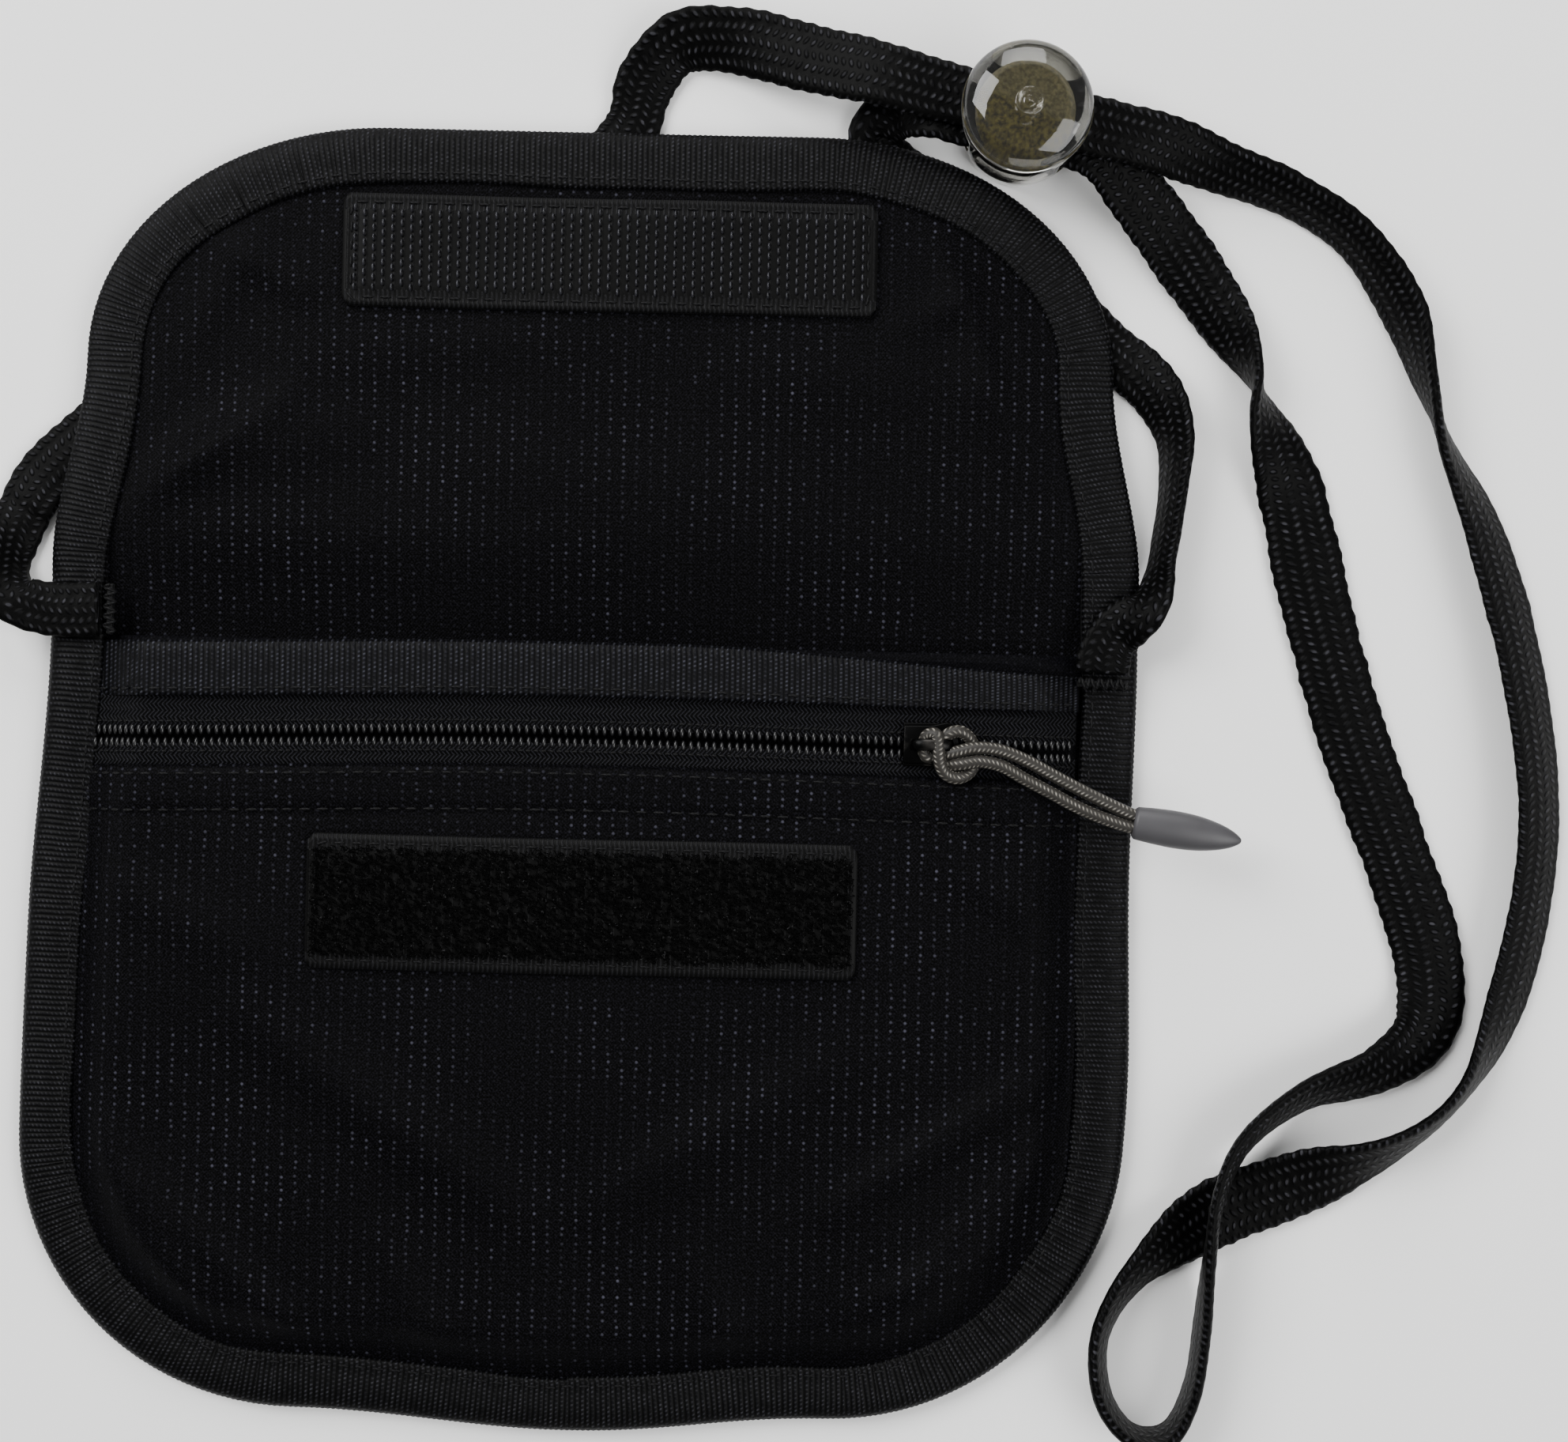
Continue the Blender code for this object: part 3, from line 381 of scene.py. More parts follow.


# Woven nylon, dyed black and lightly calendered: a plain ground weave with a raised filament every
# two millimetres, whose floats show as rows of pin-points of painted highlight, lit in noise patches. A bluish,
# slightly sheer black.
def nylon_weave(name, ground, raised, painted_highlight_colour, rib_pitch, float_pitch):
    material, tree, shader = blank_material(name, 0.55, Sheen_Weight=0.008, Sheen_Roughness=0.45,
        Specular_IOR_Level=0.035)
    shader.inputs["Sheen Tint"].default_value = srgb("b9bdd0")
    lay = add(tree, "ShaderNodeUVMap", {"uv_map": "lay"}, {}).outputs["UV"]
    cells = add(tree, "ShaderNodeVectorMath", {"operation": "MULTIPLY"}, {
        0: lay, 1: (0.1 / (rib_pitch * MM), 0.1 / (float_pitch * MM), 0.0)}).outputs["Vector"]
    inside = add(tree, "ShaderNodeVectorMath", {"operation": "FRACTION"}, {0: cells}).outputs["Vector"]
    cell = add(tree, "ShaderNodeVectorMath", {"operation": "FLOOR"}, {0: cells}).outputs["Vector"]
    chance = add(tree, "ShaderNodeTexWhiteNoise", {"noise_dimensions": "2D"}, {"Vector": cell})
    strayed = add(tree, "ShaderNodeVectorMath", {"operation": "MULTIPLY_ADD"}, {
        0: chance.outputs["Color"], 1: (-0.16, -0.34, 0.0), 2: inside}).outputs["Vector"]
    centred = add(tree, "ShaderNodeVectorMath", {"operation": "SUBTRACT"}, {
        0: strayed, 1: (0.42, 0.33, 0.0)}).outputs["Vector"]
    real = add(tree, "ShaderNodeVectorMath", {"operation": "MULTIPLY"}, {
        0: centred, 1: (rib_pitch, float_pitch, 0.0)}).outputs["Vector"]
    away = add(tree, "ShaderNodeVectorMath", {"operation": "LENGTH"}, {0: real}).outputs["Value"]
    dot = add(tree, "ShaderNodeMapRange", {"interpolation_type": "SMOOTHSTEP"}, {
        "Value": away, "From Min": 0.30, "From Max": 0.08}).outputs["Result"]
    # Painted highlight: noise patches choose where the dots are lit, and lit dots get the highlight colour mixed into
    # the base colour.
    patches = add(tree, "ShaderNodeTexNoise", {}, {
        "Vector": lay, "Scale": 5.5, "Detail": 3.0, "Roughness": 0.6}).outputs["Fac"]
    lit = add(tree, "ShaderNodeMapRange", {}, {
        "Value": patches, "From Min": 0.40, "From Max": 0.66, "To Min": 0.10, "To Max": 1.0}).outputs[
        "Result"]
    some = add(tree, "ShaderNodeMath", {"operation": "MULTIPLY"}, {
        0: chance.outputs["Value"], 1: lit}).outputs[0]
    painted_glint = add(tree, "ShaderNodeMath", {"operation": "MULTIPLY"}, {0: dot, 1: some}).outputs[0]
    threads = add(tree, "ShaderNodeVectorMath", {"operation": "MULTIPLY"}, {
        0: lay, 1: (2 * math.pi * 0.1 / (0.50 * MM), 2 * math.pi * 0.1 / (0.54 * MM), 0.0)}).outputs["Vector"]
    waves = add(tree, "ShaderNodeVectorMath", {"operation": "SINE"}, {0: threads}).outputs["Vector"]
    split = add(tree, "ShaderNodeSeparateXYZ", {}, {0: waves})
    weave = add(tree, "ShaderNodeMath", {"operation": "MULTIPLY"}, {
        0: split.outputs["X"], 1: split.outputs["Y"]}).outputs[0]
    fibre = add(tree, "ShaderNodeTexNoise", {}, {"Vector": lay, "Scale": 320.0, "Detail": 2.0}).outputs["Fac"]
    ground_mix = add(tree, "ShaderNodeMapRange", {}, {
        "Value": weave, "From Min": -1.0, "From Max": 1.0, "To Min": 0.15, "To Max": 0.75}).outputs["Result"]
    fuzz = add(tree, "ShaderNodeMapRange", {},
        {"Value": fibre, "From Min": 0.42, "From Max": 0.66}).outputs["Result"]
    uneven = add(tree, "ShaderNodeMath", {"operation": "MULTIPLY"}, {0: ground_mix, 1: fuzz}).outputs[0]
    base = add(tree, "ShaderNodeMix", {"data_type": "RGBA"}, {
        "Factor": uneven, 6: srgb(ground), 7: srgb(raised)}).outputs[2]
    colour = add(tree, "ShaderNodeMix", {"data_type": "RGBA"}, {
        "Factor": painted_glint, 6: base, 7: srgb(painted_highlight_colour)}).outputs[2]
    link(tree, colour, shader, "Base Color")
    height = add(tree, "ShaderNodeMath", {"operation": "MULTIPLY_ADD"},
        {0: weave, 1: 0.25, 2: dot}).outputs[0]
    bump = add(tree, "ShaderNodeBump", {}, {"Height": height, "Strength": 0.55, "Distance": 0.12 * MM})
    link(tree, bump.outputs["Normal"], shader, "Normal")
    shine = add(tree, "ShaderNodeMapRange", {}, {
        "Value": painted_glint, "To Min": 0.60, "To Max": 0.32}).outputs["Result"]
    link(tree, shine, shader, "Roughness")
    return material


# The fourth colour is the painted highlight on the floats.
shell_nylon = nylon_weave("woven_nylon_black", "010101", "18171c", "42424d", 2.0, 1.08)

FLAP_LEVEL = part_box("flap_panel")[1][2]
BACK_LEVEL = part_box("back_panel")[0][2] + NYLON_THICKNESS + 0.05 * MM

FLAP_CREASES = (  # start, end, width and height, in millimetres
    ((-70, 36), (-44, 54), 3.0, 1.5),
    ((-62, 44), (-34, 50), 4.5, 0.9),
    ((-64, 84), (-42, 70), 2.6, 1.3),
    ((-58, 62), (-44, 88), 3.4, 0.7),
    ((50, 80), (62, 46), 2.8, 1.5),
    ((60, 72), (68, 40), 2.4, 0.9),
    ((20, 60), (66, 56), 5.0, 0.6),
    ((-20, 46), (30, 40), 6.0, 0.6),
    ((-4, 64), (-40, 60), 4.0, 0.5),
    ((44, 66), (70, 78), 2.2, 0.8),
)


def shell_height(x, y):
    """The face of the cloth: flat on the table, rising at the fold to the open flap."""
    rise = ease((y - 19 * MM) / (18 * MM))
    level = BACK_LEVEL + (FLAP_LEVEL - BACK_LEVEL) * rise
    room = ease(edge_distance(x, y) / (12 * MM) - 0.5) * ease((y - 26 * MM) / (12 * MM))
    slack = ripples(x, y, 4, 34, 0.7)
    for start, end, width, height in FLAP_CREASES:
        slack = slack + crease(x, y, start, end, width, height)
    return level + np.maximum(slack, -0.5 * MM) * room


x, y = lay_grid(BOTTOM_Y + 1.2 * MM, FLAP_TIP_Y - 1.2 * MM, 1.2 * MM, 150, 116)
shell_points = np.stack([x, y, shell_height(x, y)], axis=-1)
shell = put("shell_cloth", grid_mesh("shell_cloth", shell_points, cloth_uv(x, y), wall=NYLON_THICKNESS),
    shell_nylon)
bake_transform(shell)
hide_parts("back_panel", "flap_panel")

# ---- the pocket lining -----------------------------------------------------------------------------
# A lighter nylon sheet between the main pocket and the zip pocket. Its top edge is caught in the
# mouth tape and its other edges in the binding.
POCKET_RISE = 9 * MM  # how far the sheets take to rise from the binding to their full height
RIM_LEVEL = 2.7 * MM
FRONT_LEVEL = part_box("front_panel")[1][2]
LINING_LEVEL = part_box("pocket_divider")[1][2]
MOUTH_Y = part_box("mouth_band")[1][1]

FRONT_CREASES = (
    ((70, -38), (38, -60), 3.0, 1.7),
    ((66, -52), (48, -72), 2.6, 1.2),
    ((-46, -34), (-6, -62), 4.5, 1.3),
    ((40, -38), (4, -60), 4.5, 1.3),
    ((-70, -46), (-52, -76), 3.0, 1.2),
    ((-60, -58), (-34, -84), 2.6, 1.1),
    ((-26, -66), (-16, -86), 3.2, 0.9),
    ((18, -68), (26, -86), 3.2, 0.9),
    ((-70, -14), (-44, -26), 4.0, 0.6),
    ((52, -10), (70, -20), 3.2, 0.7),
    ((0, -32), (2, -58), 7.0, 0.5),
    ((40, -74), (60, -66), 2.4, 0.8),
)


def pocket_height(x, y, level):
    """The height of a sheet that is held down by the binding at its sides and bottom."""
    away = edge_distance(x, y, high_y=FOLD_Y + 40 * MM)
    return RIM_LEVEL + (level - RIM_LEVEL) * ease((away - TAPE_WIDTH + 1.5 * MM) / POCKET_RISE), away


def front_slack(x, y, away):
    slack = ripples(x, y, 11, 34, 0.75)
    for start, end, width, height in FRONT_CREASES:
        slack = slack + crease(x, y, start, end, width, height)
    return np.clip(slack, -0.5 * MM, 1.9 * MM) * ease((away - TAPE_WIDTH) / (6 * MM))


# The fourth colour is the painted highlight on the floats.
lining_nylon = nylon_weave("lining_nylon_black", "020203", "121116", "17171b", 1.2, 1.0)
x, y = lay_grid(BOTTOM_Y + 1.4 * MM, MOUTH_Y - 0.3 * MM, 1.4 * MM, 84, 90)
z, _ = pocket_height(x, y, LINING_LEVEL)
z = np.minimum(z, LINING_LEVEL) - 1.0 * MM * (1 - ease((z - RIM_LEVEL) / (2 * MM)))
lining = put("pocket_lining",
    grid_mesh("pocket_lining", np.stack([x, y, z], axis=-1), cloth_uv(x, y), wall=0.3 * MM),
             lining_nylon)
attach(lining, "pouch")
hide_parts("pocket_divider")

# ---- the front panel -------------------------------------------------------------------------------
# The same nylon as the shell. Its top edge is turned under and sewn to the lower zip tape, with one
# row of stitches on the edge and one at the end of the turning.
PANEL_TOP_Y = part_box("front_panel")[1][1]
TURNING = 6.5 * MM


def zip_bow(x):
    """The zip and the mouth droop a little towards their ends."""
    return -1.5 * MM * ease((-x - 5 * MM) / (75 * MM)) - 0.7 * MM * ease((x - 5 * MM) / (60 * MM))


x, y = lay_grid(BOTTOM_Y + 1.4 * MM, PANEL_TOP_Y, 1.4 * MM, 110, 124)
near_zip = ease((y + 40 * MM) / (40 * MM))
y = y + zip_bow(x) * near_zip
z, away = pocket_height(x, y, FRONT_LEVEL)
z = z + front_slack(x, y, away) * (1 - 0.75 * ease((y + 12 * MM) / (12 * MM)))
doubled = 0.35 * MM * ease((y - zip_bow(x) - PANEL_TOP_Y + TURNING) / (0.6 * MM))
stitched_down = 0.22 * MM * np.exp(-((y - zip_bow(x) - PANEL_TOP_Y + TURNING) / (0.7 * MM)) ** 2)
lip = 0.5 * MM * ease((y - zip_bow(x) - PANEL_TOP_Y + 0.7 * MM) / (0.7 * MM))
z = z + doubled - stitched_down - lip
front_points = np.stack([x, y, z], axis=-1)
front = put("front_cloth", grid_mesh("front_cloth", front_points, cloth_uv(x, y), wall=NYLON_THICKNESS),
    shell_nylon)
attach(front, "pouch")
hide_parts("front_panel")

# ---- the binding -----------------------------------------------------------------------------------
# One length of polyester grosgrain, folded over the raw edges of all the sheets and sewn through.
# Its weft ribs run across it, so it bends round the corners and leaves a finely notched edge.
RIB_PITCH = 0.77 * MM
RIB_HEIGHT = 0.11 * MM
BODY_TAPE = (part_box("body_binding")[0][2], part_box("body_binding")[1][2])
FLAP_TAPE = (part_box("flap_binding")[0][2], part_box("flap_binding")[1][2])


def outward(mesh):
    """Turn a closed mesh's faces to look outwards."""
    bm = bmesh.new()
    bm.from_mesh(mesh)
    bmesh.ops.recalc_face_normals(bm, faces=bm.faces)
    bm.to_mesh(mesh)
    bm.free()
    return mesh


# Grosgrain: round cross ribs of bright polyester over a dull warp. Dark grey-black, with a broken
# sparkle along each rib where the warp threads cross it, painted into the colour as a painted highlight.
def grosgrain(name, ground, rib, painted_highlight_colour, sparkle):
    material, tree, shader = blank_material(name, 0.48, Sheen_Weight=0.012, Sheen_Roughness=0.4,
        Specular_IOR_Level=0.08)
    lay = add(tree, "ShaderNodeUVMap", {"uv_map": "lay"}, {}).outputs["UV"]
    split = add(tree, "ShaderNodeSeparateXYZ", {}, {0: lay})
    rib_turn = add(tree, "ShaderNodeMath", {"operation": "MULTIPLY"}, {
        0: split.outputs["X"], 1: 2 * math.pi * 0.1 / RIB_PITCH}).outputs[0]
    rib_wave = add(tree, "ShaderNodeMath", {"operation": "COSINE"}, {0: rib_turn}).outputs[0]
    on_rib = add(tree, "ShaderNodeMapRange", {}, {
        "Value": rib_wave, "From Min": -0.3, "From Max": 1.0}).outputs["Result"]
    warp_turn = add(tree, "ShaderNodeMath", {"operation": "MULTIPLY"}, {
        0: split.outputs["Y"], 1: 2 * math.pi * 0.1 / (0.62 * MM)}).outputs[0]
    half_turn = add(tree, "ShaderNodeMath", {"operation": "MULTIPLY_ADD"}, {
        0: rib_turn, 1: 0.5, 2: warp_turn}).outputs[0]
    warp_wave = add(tree, "ShaderNodeMath", {"operation": "SINE"}, {0: half_turn}).outputs[0]
    warp_on = add(tree, "ShaderNodeMapRange", {}, {
        "Value": warp_wave, "From Min": -0.2, "From Max": 0.9}).outputs["Result"]
    mottle = add(tree, "ShaderNodeTexNoise", {}, {"Vector": lay, "Scale": 60.0, "Detail": 4.0}).outputs["Fac"]
    patchy = add(tree, "ShaderNodeMapRange", {}, {
        "Value": mottle, "From Min": 0.38, "From Max": 0.68}).outputs["Result"]
    base = add(tree, "ShaderNodeMix", {"data_type": "RGBA"}, {
        "Factor": on_rib, 6: srgb(ground), 7: srgb(rib)}).outputs[2]
    crossing = add(tree, "ShaderNodeMath", {"operation": "MULTIPLY"}, {0: on_rib, 1: warp_on}).outputs[0]
    # Painted highlight: where rib and warp cross, in noise patches, the highlight colour is mixed into the base
    # colour.
    painted_glint = add(tree, "ShaderNodeMath", {"operation": "MULTIPLY"}, {0: crossing, 1: patchy}).outputs[0]
    faint = add(tree, "ShaderNodeMath", {"operation": "MULTIPLY"}, {0: painted_glint, 1: sparkle}).outputs[0]
    colour = add(tree, "ShaderNodeMix", {"data_type": "RGBA"}, {
        "Factor": faint, 6: base, 7: srgb(painted_highlight_colour)}).outputs[2]
    link(tree, colour, shader, "Base Color")
    bump = add(tree, "ShaderNodeBump", {}, {"Height": crossing, "Strength": 0.5, "Distance": 0.08 * MM})
    link(tree, bump.outputs["Normal"], shader, "Normal")
    return material


# The fourth colour and the last number are the painted sparkle.
binding_tape = grosgrain("grosgrain_binding_black", "010101", "09090b", "36363b", 0.8)


def tape_levels(y):
    """The binding's underside and top, on the body, round the fold and on the flap."""
    t = ease((y - 21 * MM) / (16 * MM))
    low = BODY_TAPE[0] + (FLAP_TAPE[0] - BODY_TAPE[0]) * t
    high = BODY_TAPE[1] + (FLAP_TAPE[1] - BODY_TAPE[1]) * t
    return low, high


# Across the tape: how far in from the pouch's edge, and the share of the way up its thickness.
TAPE_ACROSS = (
    (8.0, 0.66), (7.95, 0.90), (7.4, 0.99), (6.6, 0.93), (5.2, 0.99), (3.4, 1.0), (1.8, 0.96), (0.7, 0.84),
    (0.12, 0.66), (0.0, 0.45), (0.15, 0.22), (0.8, 0.07), (2.2, 0.0), (5.0, 0.0), (7.4, 0.02), (7.95, 0.14),
    (8.0, 0.34),
)
edge_points, edge_along = resampled(full_outline(), RIB_PITCH / 4)
edge_in = inward(edge_points)
total_edge = edge_along[-1] + np.linalg.norm(edge_points[0] - edge_points[-1])
rib_count = round(total_edge / RIB_PITCH)
phase = 2 * math.pi * rib_count * edge_along / total_edge
waver = 0.28 * MM * (np.sin(edge_along / (9 * MM)) * 0.6 + np.sin(edge_along / (4.1 * MM) + 1.3) * 0.4)
lift = 0.16 * MM * np.sin(edge_along / (13 * MM) + 0.4) + 0.10 * MM * np.sin(edge_along / (5.3 * MM))
rib = RIB_HEIGHT * (0.5 + 0.5 * np.cos(phase))
low, high = tape_levels(edge_points[:, 1])
tape_points = np.zeros((len(edge_points), len(TAPE_ACROSS), 3))
tape_uv = np.zeros((len(edge_points), len(TAPE_ACROSS), 2))
across_run = 0.0
for k, (depth, share) in enumerate(TAPE_ACROSS):
    depth_here = depth * MM + waver * (depth / 8.0) ** 2
    z = low + (high - low) * share + lift * share
    before = TAPE_ACROSS[max(k - 1, 0)]
    across_run += math.hypot((depth - before[0]) * MM, (share - before[1]) * 3.0 * MM)
    out = np.clip(1 - depth / 1.2, 0, 1)
    up = (1 if share > 0.5 else -1) * (1 - out)
    tape_points[:, k, 0] = edge_points[:, 0] + edge_in[:, 0] * (depth_here - rib * out)
    tape_points[:, k, 1] = edge_points[:, 1] + edge_in[:, 1] * (depth_here - rib * out)
    tape_points[:, k, 2] = np.maximum(z + rib * up, 0.02 * MM)
    tape_uv[:, k, 0] = phase / (2 * math.pi) * RIB_PITCH * 10
    tape_uv[:, k, 1] = across_run * 10
binding_mesh = outward(grid_mesh("edge_binding", tape_points, tape_uv, around=True, along=True))
binding = put("edge_binding", binding_mesh, binding_tape)
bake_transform(binding)
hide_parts("body_binding", "flap_binding")

# ---- the sewing ------------------------------------------------------------------------------------
# Black polyester thread in a lockstitch. Each row is a path that a node tree reads at the stitch's
# pitch, with a short bead of thread at every step.
STITCH_PITCH = 2.5 * MM
STITCH_LENGTH = 1.7 * MM
THREAD = 0.42 * MM

# Spun polyester thread: dull black, with a soft twist whose fine slanting light is painted into the colour as lighter
# bands, with a bump to match.
thread_black, tree, shader = blank_material("sewing_thread_black", 0.5, Sheen_Weight=0.02,
    Specular_IOR_Level=0.12)
place = add(tree, "ShaderNodeTexCoord", {}, {}).outputs["Object"]
twist = add(tree, "ShaderNodeTexWave", {"bands_direction": "DIAGONAL"},
    {"Vector": place, "Scale": 900.0, "Distortion": 0.4})
# Painted highlight: the twist's slanting bands are lighter in the colour.
shade = add(tree, "ShaderNodeMix", {"data_type": "RGBA"}, {
    "Factor": twist.outputs["Fac"], 6: srgb("030303"), 7: srgb("101012")}).outputs[2]
link(tree, shade, shader, "Base Color")
bump = add(tree, "ShaderNodeBump", {},
    {"Height": twist.outputs["Fac"], "Strength": 0.4, "Distance": 0.05 * MM})
link(tree, bump.outputs["Normal"], shader, "Normal")


def node_group(name, inputs):
    """An empty geometry tree with a geometry input, the named inputs and a geometry output."""
    tree = bpy.data.node_groups.new(name, "GeometryNodeTree")
    tree.interface.new_socket("Geometry", in_out="INPUT", socket_type="NodeSocketGeometry")
    for key, kind in inputs:
        tree.interface.new_socket(key, in_out="INPUT", socket_type="NodeSocket" + kind)
    tree.interface.new_socket("Geometry", in_out="OUTPUT", socket_type="NodeSocketGeometry")
    return tree, add(tree, "NodeGroupInput", {}, {}).outputs


def finish_tree(tree, instances, material):
    """End a tree: make its instances real and give them their material."""
    real = add(tree, "GeometryNodeRealizeInstances", {}, {"Geometry": instances}).outputs["Geometry"]
    soft = add(tree, "GeometryNodeSetShadeSmooth", {}, {"Geometry": real}).outputs["Geometry"]
    coloured = add(tree, "GeometryNodeSetMaterial", {},
        {"Geometry": soft, "Material": material}).outputs["Geometry"]
    add(tree, "NodeGroupOutput", {}, {0: coloured})


def grown(name, mesh, tree, values, material):
    """Run a geometry tree on a guide mesh and keep what it makes as a plain mesh."""
    guide = bpy.data.objects.new(name + "_guide", mesh)
    bpy.context.collection.objects.link(guide)
    modifier = guide.modifiers.new("grow", "NODES")
    modifier.node_group = tree
    for item in tree.interface.items_tree:
        if item.item_type == "SOCKET" and item.in_out == "INPUT" and item.name in values:
            modifier[item.identifier] = values[item.name]
    bpy.context.view_layer.update()
    made = bpy.data.meshes.new_from_object(guide.evaluated_get(bpy.context.evaluated_depsgraph_get()))
    made.name = name
    bpy.data.objects.remove(guide, do_unlink=True)
    return put(name, made, material)


def stitch_tree():
    tree, given = node_group("stitch_row", (("Pitch", "Float"), ("Length", "Float"), ("Thickness", "Float")))
    path = add(tree, "GeometryNodeMeshToCurve", {}, {"Mesh": given["Geometry"]}).outputs["Curve"]
    steps = add(tree, "GeometryNodeCurveToPoints", {"mode": "LENGTH"},
        {"Curve": path, "Length": given["Pitch"]})
    bead = add(tree, "GeometryNodeMeshUVSphere", {},
        {"Segments": 8, "Rings": 5, "Radius": 0.5}).outputs["Mesh"]
    size = add(tree, "ShaderNodeCombineXYZ", {}, {
        "X": given["Thickness"], "Y": given["Thickness"], "Z": given["Length"]}).outputs["Vector"]
    beads = add(tree, "GeometryNodeInstanceOnPoints", {}, {
        "Points": steps.outputs["Points"], "Instance": bead, "Rotation": steps.outputs["Rotation"],
        "Scale": size})
    finish_tree(tree, beads.outputs["Instances"], thread_black)
    return tree


STITCH_TREE = stitch_tree()


def path_mesh(name, points, closed=False):
    mesh = bpy.data.meshes.new(name)
    edges = [(i, i + 1) for i in range(len(points) - 1)]
    if closed:
        edges.append((len(points) - 1, 0))
    mesh.from_pydata([tuple(p) for p in points], edges, [])
    return mesh


def stitches(name, points, closed=False, pitch=STITCH_PITCH, length=STITCH_LENGTH):
    values = {"Pitch": pitch, "Length": length, "Thickness": THREAD}
    return grown(name, path_mesh(name, points, closed), STITCH_TREE, values, thread_black)


row_depth = 6.6 * MM
row_points = edge_points[::8] + edge_in[::8] * (row_depth + waver[::8, None] * 0.7)
row_low, row_high = tape_levels(row_points[:, 1])
row_z = row_low + (row_high - row_low) * 0.93 + lift[::8] * 0.93 + RIB_HEIGHT
binding_row = stitches("binding_stitches", np.column_stack([row_points, row_z]), closed=True)
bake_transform(binding_row)
under_z = np.maximum(row_low - 0.02 * MM, 0.2 * MM)
under_row = stitches("binding_stitches_under", np.column_stack([row_points, under_z]), closed=True)
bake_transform(under_row)


def over_pouch(xs, y, above=0.12 * MM, level=None):
    """Points across the pouch at a height just above its front, for a row of stitches."""
    xs = np.asarray(xs)
    ys = np.full_like(xs, y) + zip_bow(xs)
    z, _ = pocket_height(xs[:, None], ys[:, None], FRONT_LEVEL if level is None else level)
    return np.column_stack([xs, ys, z[:, 0] + above])


across_front = np.linspace(-70 * MM, 70.5 * MM, 120)
edge_row = stitches("panel_edge_stitches", over_pouch(across_front, PANEL_TOP_Y - 1.3 * MM, 0.35 * MM))
turning_row = stitches("panel_turning_stitches", over_pouch(across_front, PANEL_TOP_Y - TURNING, 0.10 * MM))
for row in (edge_row, turning_row):
    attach(row, "pouch")

# ---- the mouth tape --------------------------------------------------------------------------------
# A second grosgrain tape folded over the pocket's mouth. Its right-hand end is pulled down by the
# cord's anchor, and its painted highlight is brighter than the binding's.
MOUTH_TAPE = 7.7 * MM
mouth_tape = grosgrain("grosgrain_mouth_black", "010102", "0b0b0f", "3a3b43", 1.0)


def mouth_line(x):
    """The mouth's edge: nearly straight, low at the ends, lowest at the right."""
    left = -1.1 * MM * ease((-x - 10 * MM) / (62 * MM))
    right = -3.4 * MM * ease((x - 12 * MM) / (64 * MM))
    return MOUTH_Y + left + right


rib_x = np.arange(-70.5 * MM, 71.5 * MM, RIB_PITCH / 4)
rib_wave = 0.5 + 0.5 * np.cos(2 * math.pi * rib_x / RIB_PITCH)
band_face, _ = pocket_height(rib_x[:, None], np.full((len(rib_x), 1), 14 * MM), FRONT_LEVEL + 0.15 * MM)
band_face = band_face[:, 0] + ripples(rib_x, np.zeros_like(rib_x), 8, 30, 0.25)
MOUTH_ACROSS = ((1.0, 0.0), (0.93, 0.0), (0.7, 0.04), (0.45, 0.02), (0.2, 0.0), (0.06, -0.12),
    (0.0, -0.5), (0.03, -1.0),
                (0.12, -1.35), (0.4, -1.5), (0.7, -1.5), (0.98, -1.5), (1.0, -1.2))
band_points = np.zeros((len(rib_x), len(MOUTH_ACROSS), 3))
band_uv = np.zeros((len(rib_x), len(MOUTH_ACROSS), 2))
for k, (share, drop) in enumerate(MOUTH_ACROSS):
    rise = 1 if drop > -0.6 else -1
    top = mouth_line(rib_x)
    bottom = MOUTH_Y - MOUTH_TAPE + zip_bow(rib_x) * 0.9
    rounding = rib_wave * RIB_HEIGHT
    band_points[:, k, 0] = rib_x
    band_points[:, k, 1] = top + (bottom - top) * share + rounding * (share < 0.1)
    band_points[:, k, 2] = band_face + drop * MM * np.clip((band_face - RIM_LEVEL) / (4 * MM), 0.3,
        1) + rounding * rise
    band_uv[:, k, 0] = rib_x * 10
    band_uv[:, k, 1] = (share * MOUTH_TAPE + (0 if rise > 0 else 12 * MM)) * 10
band_mesh = outward(grid_mesh("mouth_tape", band_points, band_uv, around=True))
mouth = put("mouth_tape", band_mesh, mouth_tape)
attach(mouth, "pouch")
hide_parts("mouth_band")

mouth_row_x = np.linspace(-69 * MM, 69.5 * MM, 120)
mouth_row = over_pouch(mouth_row_x, MOUTH_Y - MOUTH_TAPE + 1.1 * MM, 0.38 * MM)
mouth_stitches = stitches("mouth_stitches", mouth_row)
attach(mouth_stitches, "pouch")

# ---- the zip's tapes and teeth -----------------------------------------------------------------------
# A nylon coil zip: knitted tapes with a turn of nylon monofilament sewn along each inner edge. The
# closed chain shows two rows of rounded teeth that meet down the middle.
ZIP_Y = (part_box("zip_coil_lower")[0][1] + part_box("zip_coil_upper")[1][1]) / 2
COIL_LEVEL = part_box("zip_coil_lower")
TOOTH_PITCH = 1.1 * MM

